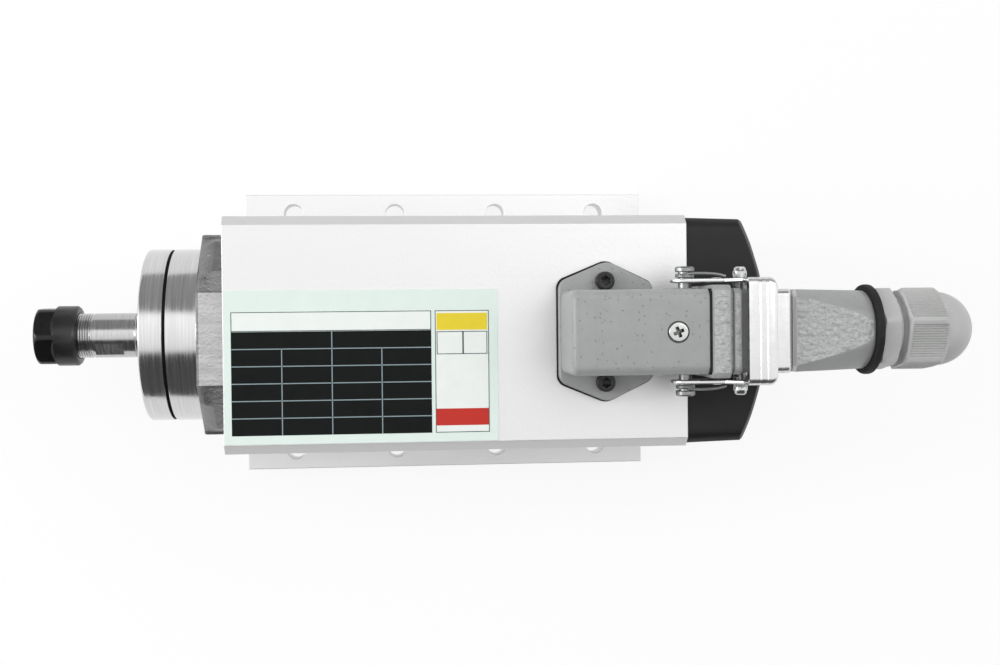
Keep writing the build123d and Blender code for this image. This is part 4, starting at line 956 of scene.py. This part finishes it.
class SPINDLE_OT_latch(bpy.types.Operator):
    """Finishes the latch lever and makes its pivots, springs, dimples and the hood's pegs"""
    bl_idname = "spindle.latch"
    bl_label = "Latch"

    def execute(self, context):
        self.lever()
        pivot = [(10.2, 0), (10.2, 1.9), (17.2, 1.9), (17.2, 2.6), (17.4, 2.85), (18.3, 2.85), (18.65, 2.6),
                 (18.8, 2.1), (18.8, 0)]
        peg = [(9.6, 0), (9.6, 2.05), (15.9, 2.05), (16.1, 2.15), (17.2, 2.15), (17.5, 1.9), (18.3, 1.7),
               (18.6, 1.3), (18.6, 0)]
        dimple = ((-0.1, 0), (-0.1, 1.9), (0.02, 1.9), (0.25, 1.4), (0.38, 0.7), (0.4, 0))
        dimple = [(lever_outside + out, radius) for out, radius in dimple]
        peg_place, peg_up, dimple_place, dimple_up = 149.9, 0.5, 142.8, 1.2
        for side, word in sides:
            name = "pivot_" + word
            place_piece(name, crosswise(name, side, pivot, 48, pivot_place), "pivot_pins", "dull_zinc")
            name = "peg_" + word
            place_piece(name, crosswise(name, side, peg, 40, peg_place, peg_up), "hood_pegs")
            name = "arm_dimple_" + word
            place_piece(name, crosswise(name, side, dimple, 32, dimple_place, dimple_up), "latch_lever",
                        "latch_steel", sharp=180, stands_in=False)
            self.spring("spring_" + word, side, sizes().wire)
        return {"FINISHED"}

    def lever(self):
        """Bent sheet: two notched arms, a stepped bridge over the hood and a tab with a turned-down end."""
        sheet, bend, low, under, step, eye = 1.2, 2.0, -3.9, 14.2, 0.9, 4.3
        bridge, plan_round, bridge_end = pivot_place + 14.6, pivot_place + 20.4, pivot_place + 22.6
        notch_start, notch_end, notch_top, arm_end, rise_start = 12.95, 18.55, 2.95, 20.6, 14.8
        arm = [(pivot_place + a, z) for a, z in
               ((notch_start, low), (notch_start, notch_top), (notch_end, notch_top), (notch_end, low),
                (arm_end, low), (arm_end, under), (rise_start, under), (rise_start, 8.9), (10.3, 4.8),
                (0, eye))]
        arm += fillet((pivot_place, 0), eye, 100, 245, 14)
        hair = 0.02
        for side, word in sides:
            rings = [[at(a, side * y, z, plug_height) for a, z in arm]
                     for y in (lever_outside - sheet + hair, lever_outside - hair)]
            piece = place_piece("latch_arm_" + word, skin("latch_arm_" + word, rings), "latch_lever")
            break_edges(piece, 0.3 * mm)

        def ring(place, half, top, bottom, solid=False):
            """Section of the sheet: legs down to a height, joined over the top by two round bends."""
            def bow(inset):
                radius = bend - inset
                return [(half - inset, bottom),
                        *[(half - bend + radius * math.sin(a), top - bend + radius * math.cos(a))
                          for a in steps_between(tau / 4, 0, 6)]]

            outside, inside = bow(0), bow(sheet)
            over = outside + [(-y, z) for y, z in outside[::-1]]
            if not solid:
                over += [(-y, z) for y, z in inside] + inside[::-1]
            return [at(place, y, z, plug_height) for y, z in over]

        top = under + sheet
        # Distance along the bridge and share of the step that it has risen by there
        rises = ((0, 0), (2.9, 0), (3.1, 0.12), (3.3, 0.38), (3.5, 0.5), (4.8, 0.5), (5.0, 0.62), (5.2, 0.88),
                 (5.4, 1.0), (plan_round - bridge, 1.0))
        rows = [ring(bridge + a, lever_outside, top + step * rise, top - bend - 0.3) for a, rise in rises]
        parts = [skin("latch_bridge", rows)]
        rows = []
        reach = bridge_end - plan_round
        for t in steps_between(0, 1, 6):
            inward = reach - math.sqrt(reach ** 2 - (reach * t * 0.97) ** 2)
            height = top + step - 0.5 * t ** 4
            rows.append(ring(plan_round + reach * t, lever_outside - inward * 0.8, height, low))
        parts.append(skin("latch_bridge", rows))
        tab_end, tab_half, tab_top, tab_bend = 160.9, 11.9, 14.7, 1.5
        start = bridge_end - 0.8
        level = top + step - 0.45
        rows = []
        for t in steps_between(0, 1, 3):
            place = start + (tab_end - tab_bend - start) * t
            height = level + (tab_top - level) * t
            rows.append(ring(place, tab_half, height, height - sheet, solid=True))
        for along, up in fillet((tab_end - tab_bend, tab_top - tab_bend), tab_bend, 75, 10, 5):
            rows.append(ring(along, tab_half, up, tab_top - sheet - 0.9, solid=True))
        parts.append(skin("latch_bridge", rows))
        mesh = joined("latch_bridge", parts)
        mesh.shade_smooth()
        place_piece("latch_bridge", mesh, "latch_lever", sharp=40)

    def spring(self, name, side, wire):
        """Two turns of wire round the pivot, then a leg that curves in to the lever's arm."""
        turns, coil, per_turn, first_out, advance = 2.25, 2.5, 16, 15.7, 0.9
        points = []
        for i in range(int(turns * per_turn) + 1):
            angle = tau * (i / per_turn - turns) + tau / 4
            out = side * (first_out + advance * i / (turns * per_turn))
            points.append((station(pivot_place) + coil * mm * math.cos(angle), out * mm,
                           plug_height + coil * mm * math.sin(angle)))
        leg = ((136.5, 16.75, 2.7), (139.5, 16.7, 3.1), (142.2, 16.5, 3.3), (144.2, 16.1, 3.3),
               (145.0, 15.8, 3.2))
        points += [at(place, side * out, up, plug_height) for place, out, up in leg]
        curve = bpy.data.curves.new(name, "CURVE")
        curve.dimensions = "3D"
        curve.bevel_depth = wire / 2
        curve.bevel_resolution = 3
        curve.use_fill_caps = True
        line = curve.splines.new("NURBS")
        line.points.add(len(points) - 1)
        for point, place in zip(line.points, points):
            point.co = (*place, 1.0)
        line.order_u = 4
        line.use_endpoint_u = True
        place_piece(name, curve, "latch_springs", "dull_zinc")


class SPINDLE_OT_hood(bpy.types.Operator):
    """Casts the plug hood: collar, band and waist, then a body that goes from square to round"""
    bl_idname = "spindle.hood"
    bl_label = "Plug hood"

    def execute(self, context):
        front, collar_end, band_start, band_end, flare, end = 138.65, 144.0, 145.0, 147.3, 163.3, 186.6
        inside, inside_end = 9.6, 168.0
        rings = [self.section(place, inside, inside, corner=0.8) for place in (inside_end, front)]

        def rim(place, half, soft=0.45, forward=True):
            """Three rings that round the edge where a step starts or ends."""
            way = soft if forward else -soft
            rings = [self.section(place, half - soft, half - soft, corner=1.6),
                     self.section(place + way * 0.3, half - 0.3 * soft, half - 0.3 * soft, corner=1.8),
                     self.section(place + way, half, half, corner=2.0)]
            return rings if forward else rings[::-1]

        def neck(start, stop, half, up):
            """Two rings of a waist between steps."""
            return [self.section(place, half, up, corner=1.6) for place in (start, stop)]

        collar, band, waist, waist_end = 13.2, 12.2, 11.8, flare - 1.1
        rings += rim(front, collar) + rim(collar_end, collar, forward=False)
        rings += neck(collar_end, band_start, waist, 11.1)
        rings += rim(band_start, band, 0.35) + rim(band_end, band, 0.35, forward=False)
        rings += neck(band_end, waist_end, waist, 10.4)
        body, body_reach, narrowing, reach_loss = 11.74, 15.34, 0.38, 3.7
        rings += [self.section(flare - 1.0, 11.0, 10.9, reach=14.6),
                  self.section(flare, body, body, reach=body_reach)]
        for t in steps_between(0.125, 1, 7):
            half = body - narrowing * t
            place = flare + (end - 0.6 - flare) * t
            rings.append(self.section(place, half, half, reach=body_reach - reach_loss * t))
        rings.append(self.section(end, 11.0, 11.0, reach=11.25))
        hood = place_piece("hood_shell", skin("hood_shell", rings), "plug_hood",
                           extra=("grained_lit_enamel", "highlight_zinc"))
        lowest = 10.9 * mm
        # The flats take the grained enamel: real grain, and a lighter colour that is painted light
        paint(hood, 1, lambda centre, normal: abs(normal.z) > 0.97 and abs(centre.z - plug_height) > lowest
              and not station(band_end) < centre.x < station(flare))
        # The upper faces of the front chamfer take the light zinc finish: a painted highlight on the rim
        paint(hood, 2, lambda centre, normal: station(flare - 1.0) < centre.x < station(flare)
              and centre.z > plug_height + 9 * mm)
        return {"FINISHED"}

    def section(self, place, half, up, corner=None, reach=None, flats=5, arc=8):
        """Ring of points square to X: flats joined by corner arcs, or by arcs of a circle on the axis."""
        if reach:
            edge_y, edge_z = math.sqrt(reach ** 2 - up ** 2), math.sqrt(reach ** 2 - half ** 2)
            centre, size = (0.0, 0.0), reach
        else:
            edge_y, edge_z = half - corner, up - corner
            centre, size = (edge_y, edge_z), corner
        start = math.atan2(edge_y - centre[0], up - centre[1])
        stop = math.atan2(half - centre[0], edge_z - centre[1])
        quarter = [(edge_y * i / flats, up) for i in range(flats)]
        quarter += [(centre[0] + size * math.sin(a), centre[1] + size * math.cos(a))
                    for a in steps_between(start, stop, arc)]
        quarter += [(half, edge_z * (1 - i / flats)) for i in range(1, flats + 1)]
        ring = quarter[:-1] + [(y, -z) for y, z in quarter[::-1]][:-1]
        ring += [(-y, -z) for y, z in quarter[:-1]] + [(-y, z) for y, z in quarter[::-1]][:-1]
        return [at(place, y, z, plug_height) for y, z in ring]


# The gland's hexagons
gland_flats = 22.0
gland_turn = math.radians(12)


class SPINDLE_OT_gland(bpy.types.Operator):
    """Moulds the cable gland: washer, threaded hexagon body and ribbed nut with its dome"""
    bl_idname = "spindle.gland"
    bl_label = "Cable gland"

    def execute(self, context):
        self.washer()
        self.body()
        self.nut()
        return {"FINISHED"}

    def washer(self):
        """Rubber washer between hood and body, with a rounded rim."""
        start, thickness, inside, outside, rim = 186.6, 2.3, 8.0, 12.5, 0.7
        end = start + thickness
        profile = [(start, inside), (start, outside), *fillet((start + rim, outside), rim, 180, 90, 3),
                   *fillet((end - rim, outside), rim, 90, 0, 3), (end, inside)]
        place_piece("gland_gasket", spin("gland_gasket", profile, plug_height, 96), "gland_washer")

    def body(self):
        """Threaded spigot in the hood, hexagon with rounded corners, and the nut's thread."""
        spigot_start, start, hex_end, end = 177.6, 188.9, 194.5, 205.7
        bore, spigot, face, corner, crest = 6.5, 9.6, 11.2, 12.6, 9.5
        hexagonal = 10.5

        def shape(angle, along, radius):
            return min(radius, hexagon(angle, gland_flats, gland_turn)) if radius > hexagonal else radius

        profile = [(spigot_start, bore), (spigot_start, spigot), (start, spigot), (start, face),
                   (start + 0.6, corner - 0.15)]
        profile += [(place, corner) for place in steps_between(start + 0.9, hex_end - 0.7, 3)]
        profile += [(hex_end - 0.4, corner - 0.5), (hex_end, face - 0.1), (hex_end, crest - 0.5),
                    *threads(hex_end + 0.2, end - 0.5, crest, 0.75, sizes().gland_pitch / mm),
                    (end, 8.4), (end, bore)]
        place_piece("gland_neck", spin("gland_neck", profile, plug_height, 144, shape), "gland_body")

    def nut(self):
        """Hexagon nut with grip ribs on its flats, and the dome with the cable's opening."""
        start, taper_start, taper, dome_start, dome = 196.7, 206.6, 2.2, 208.5, 10.9
        corner, hexagonal, inside, opening, shoulder = 12.65, 10.95, 9.56, 4.75, 207.0
        ribs, plain, half_flats = 14, 0.4, gland_flats / 2
        rib, depth = sizes().rib_pitch / mm, sizes().rib_depth / mm

        def shape(angle, along, radius):
            if radius < hexagonal:
                return radius
            across = half_flats * math.tan((angle - gland_turn) % (tau / 6) - tau / 12)
            reach = min(radius, hexagon(angle, gland_flats, gland_turn))
            ribbed = abs(across) < (ribs / 2 - plain) * rib and start + 0.9 < along < dome_start - 0.4
            return reach - depth * (round(across / rib * 4) % 4 in (2, 3)) if ribbed else reach

        marks = [-6.3, -6.0, *[rib / 4 * k for k in range(-2 * ribs, 2 * ribs + 1)], 6.0, 6.3]
        angles = [gland_turn + tau / 12 + tau / 6 * side + math.atan2(mark, half_flats)
                  for side in range(6) for mark in marks]
        profile = [(start, inside), (start, 11.3), (start + 0.7, corner - 0.15), (start + 0.88, corner)]
        profile += [(place, corner) for place in steps_between(start + 0.92, taper_start, 4)]
        profile += [(taper_start + taper * t, corner - 1.68 * t ** 1.5) for t in steps_between(0.1, 1.0, 10)]
        profile += fillet((dome_start - 0.02, 0.0), dome, 87, 26, 14)
        profile += [(218.1, opening + 0.15), (218.2, opening), (217.2, opening), (shoulder, opening),
                    (shoulder, inside)]
        mesh = spin("gland_cap", profile, plug_height, shape=shape, angles=angles)
        place_piece("gland_cap", mesh, "gland_nut")


# Camera: where the photograph was taken from, fitted to the object's real sizes
camera_place = (-23.9, 5.7, 453.6)
camera_yaw, camera_pitch, camera_roll = 0.096, 0.015, 0.010
camera_lens = 45.66

# Studio lamps: name, place, aim and size in metres, and power in watts
lamps = (
    ("key_softbox", (0.35, 0.5, 0.85), (0.0, 0.0, 0.05), (1.0, 0.6), 1.8),
    ("end_softbox", (-0.9, 0.1, 0.45), (0.0, 0.0, 0.05), (0.25, 0.5), 3.5),
)
floor_size = 60.0
floor_lift = 0.85

# Brightness of the room from -Y at 0 over the ceiling to +Y at 1
room_levels = ((0.0, 0.07), (0.29, 0.05), (0.34, 0.75), (0.72, 1.0), (0.77, 0.2), (1.0, 0.26))
room_strength = 1.45


class SPINDLE_OT_studio(bpy.types.Operator):
    """Sets up the pale floor, the soft lamps, the surroundings and the camera"""
    bl_idname = "spindle.studio"
    bl_label = "Studio"

    def execute(self, context):
        scene = context.scene
        mesh = bpy.data.meshes.new("floor")
        half = floor_size / 2
        mesh.from_pydata([(-half, -half, 0), (half, -half, 0), (half, half, 0), (-half, half, 0)], [],
                         [(0, 1, 2, 3)])
        floor = bpy.data.objects.new("floor", mesh)
        scene.collection.objects.link(floor)
        floor.location.z = -0.02 * mm
        mesh.materials.append(self.paper())
        for name, where, aim, size, power in lamps:
            light = bpy.data.lights.new(name, "AREA")
            light.shape = "RECTANGLE"
            light.size, light.size_y = size
            light.energy = power
            lamp = bpy.data.objects.new(name, light)
            scene.collection.objects.link(lamp)
            lamp.location = where
            lamp.rotation_euler = (Vector(where) - Vector(aim)).to_track_quat("Z", "Y").to_euler()
        self.surroundings(scene)
        camera = bpy.data.objects.new("camera", bpy.data.cameras.new("camera"))
        scene.collection.objects.link(camera)
        camera.location = Vector(camera_place) * mm
        turn = (Euler((0, 0, camera_roll)).to_matrix() @ Euler((camera_pitch, 0, 0)).to_matrix()
                @ Euler((0, camera_yaw, 0)).to_matrix())
        camera.matrix_world = Matrix.Translation(camera.location) @ turn.transposed().to_4x4()
        camera.data.lens = camera_lens
        camera.data.sensor_width = 36.0
        camera.data.clip_start = 0.01
        scene.camera = camera
        scene.view_settings.view_transform = "Standard"
        return {"FINISHED"}

    def paper(self):
        """Matt white paper, lifted towards white where it is seen or mirrored, which softens its shadows."""
        made, tree, shader, place = surface("floor_paper", metallic=0.0, roughness=0.9)
        mottle(tree, shader, place, linear("#FAFAFA"), spread=0.004, size=200)
        rays = add(tree, "ShaderNodeLightPath").outputs
        seen = rays["Is Camera Ray"]
        for kind in ("Is Glossy Ray", "Is Transmission Ray"):
            seen = add(tree, "ShaderNodeMath", {0: seen, 1: rays[kind]}, operation="MAXIMUM").outputs[0]
        lift = add(tree, "ShaderNodeMath", {0: seen, 1: floor_lift}, operation="MULTIPLY")
        white = add(tree, "ShaderNodeEmission", {"Strength": 1.0})
        mixed = add(tree, "ShaderNodeMixShader", {"Fac": lift.outputs[0], 1: shader.outputs["BSDF"],
                                                  2: white.outputs["Emission"]})
        tree.links.new(mixed.outputs["Shader"], tree.nodes["Material Output"].inputs["Surface"])
        return made

    def surroundings(self, scene):
        """A room with a bright ceiling along X, grey at +Y and dark at -Y, but white to the camera."""
        world = bpy.data.worlds.new("studio_room")
        scene.world = world
        world.use_nodes = True
        tree = world.node_tree
        direction = add(tree, "ShaderNodeTexCoord").outputs["Generated"]
        parts = add(tree, "ShaderNodeSeparateXYZ", {"Vector": direction})
        across = add(tree, "ShaderNodeMapRange", {"Value": parts.outputs["Y"], "From Min": -1.0,
                                                  "From Max": 1.0})
        room = add(tree, "ShaderNodeValToRGB", {"Fac": across.outputs["Result"]}, stops=room_levels)
        rays = add(tree, "ShaderNodeLightPath").outputs
        lit = add(tree, "ShaderNodeMath", {0: room.outputs["Color"], 1: rays["Is Camera Ray"]},
                  operation="MAXIMUM")
        background = tree.nodes["Background"]
        background.inputs["Strength"].default_value = room_strength
        tree.links.new(lit.outputs[0], background.inputs["Color"])


class SPINDLE_PT_panel(bpy.types.Panel):
    """Sidebar panel with one button for each group of pieces"""
    bl_idname = "SPINDLE_PT_panel"
    bl_label = "Motor Spindle"
    bl_space_type = "VIEW_3D"
    bl_region_type = "UI"
    bl_category = "Spindle"

    def draw(self, context):
        column = self.layout.column()
        for group in (context.scene.spindle_sizes, context.scene.spindle_colours):
            for setting in group.bl_rna.properties.keys():
                if setting not in ("rna_type", "name"):
                    column.prop(group, setting)
        for operator in operators:
            column.operator(operator.bl_idname)


operators = (SPINDLE_OT_housing, SPINDLE_OT_inner_works, SPINDLE_OT_nose, SPINDLE_OT_cover, SPINDLE_OT_plate,
             SPINDLE_OT_connector, SPINDLE_OT_latch, SPINDLE_OT_hood, SPINDLE_OT_gland, SPINDLE_OT_studio)
classes = (SpindleSizes, SpindleColours, *operators, SPINDLE_PT_panel)


def register():
    for item in classes:
        bpy.utils.register_class(item)
    bpy.types.Scene.spindle_sizes = bpy.props.PointerProperty(type=SpindleSizes)
    bpy.types.Scene.spindle_colours = bpy.props.PointerProperty(type=SpindleColours)


def unregister():
    del bpy.types.Scene.spindle_colours
    del bpy.types.Scene.spindle_sizes
    for item in reversed(classes):
        bpy.utils.unregister_class(item)


def main():
    register()
    for operator in operators:
        group, action = operator.bl_idname.split(".")
        getattr(getattr(bpy.ops, group), action)()
    bpy.context.view_layer.update()


if __name__ == "__main__":
    main()
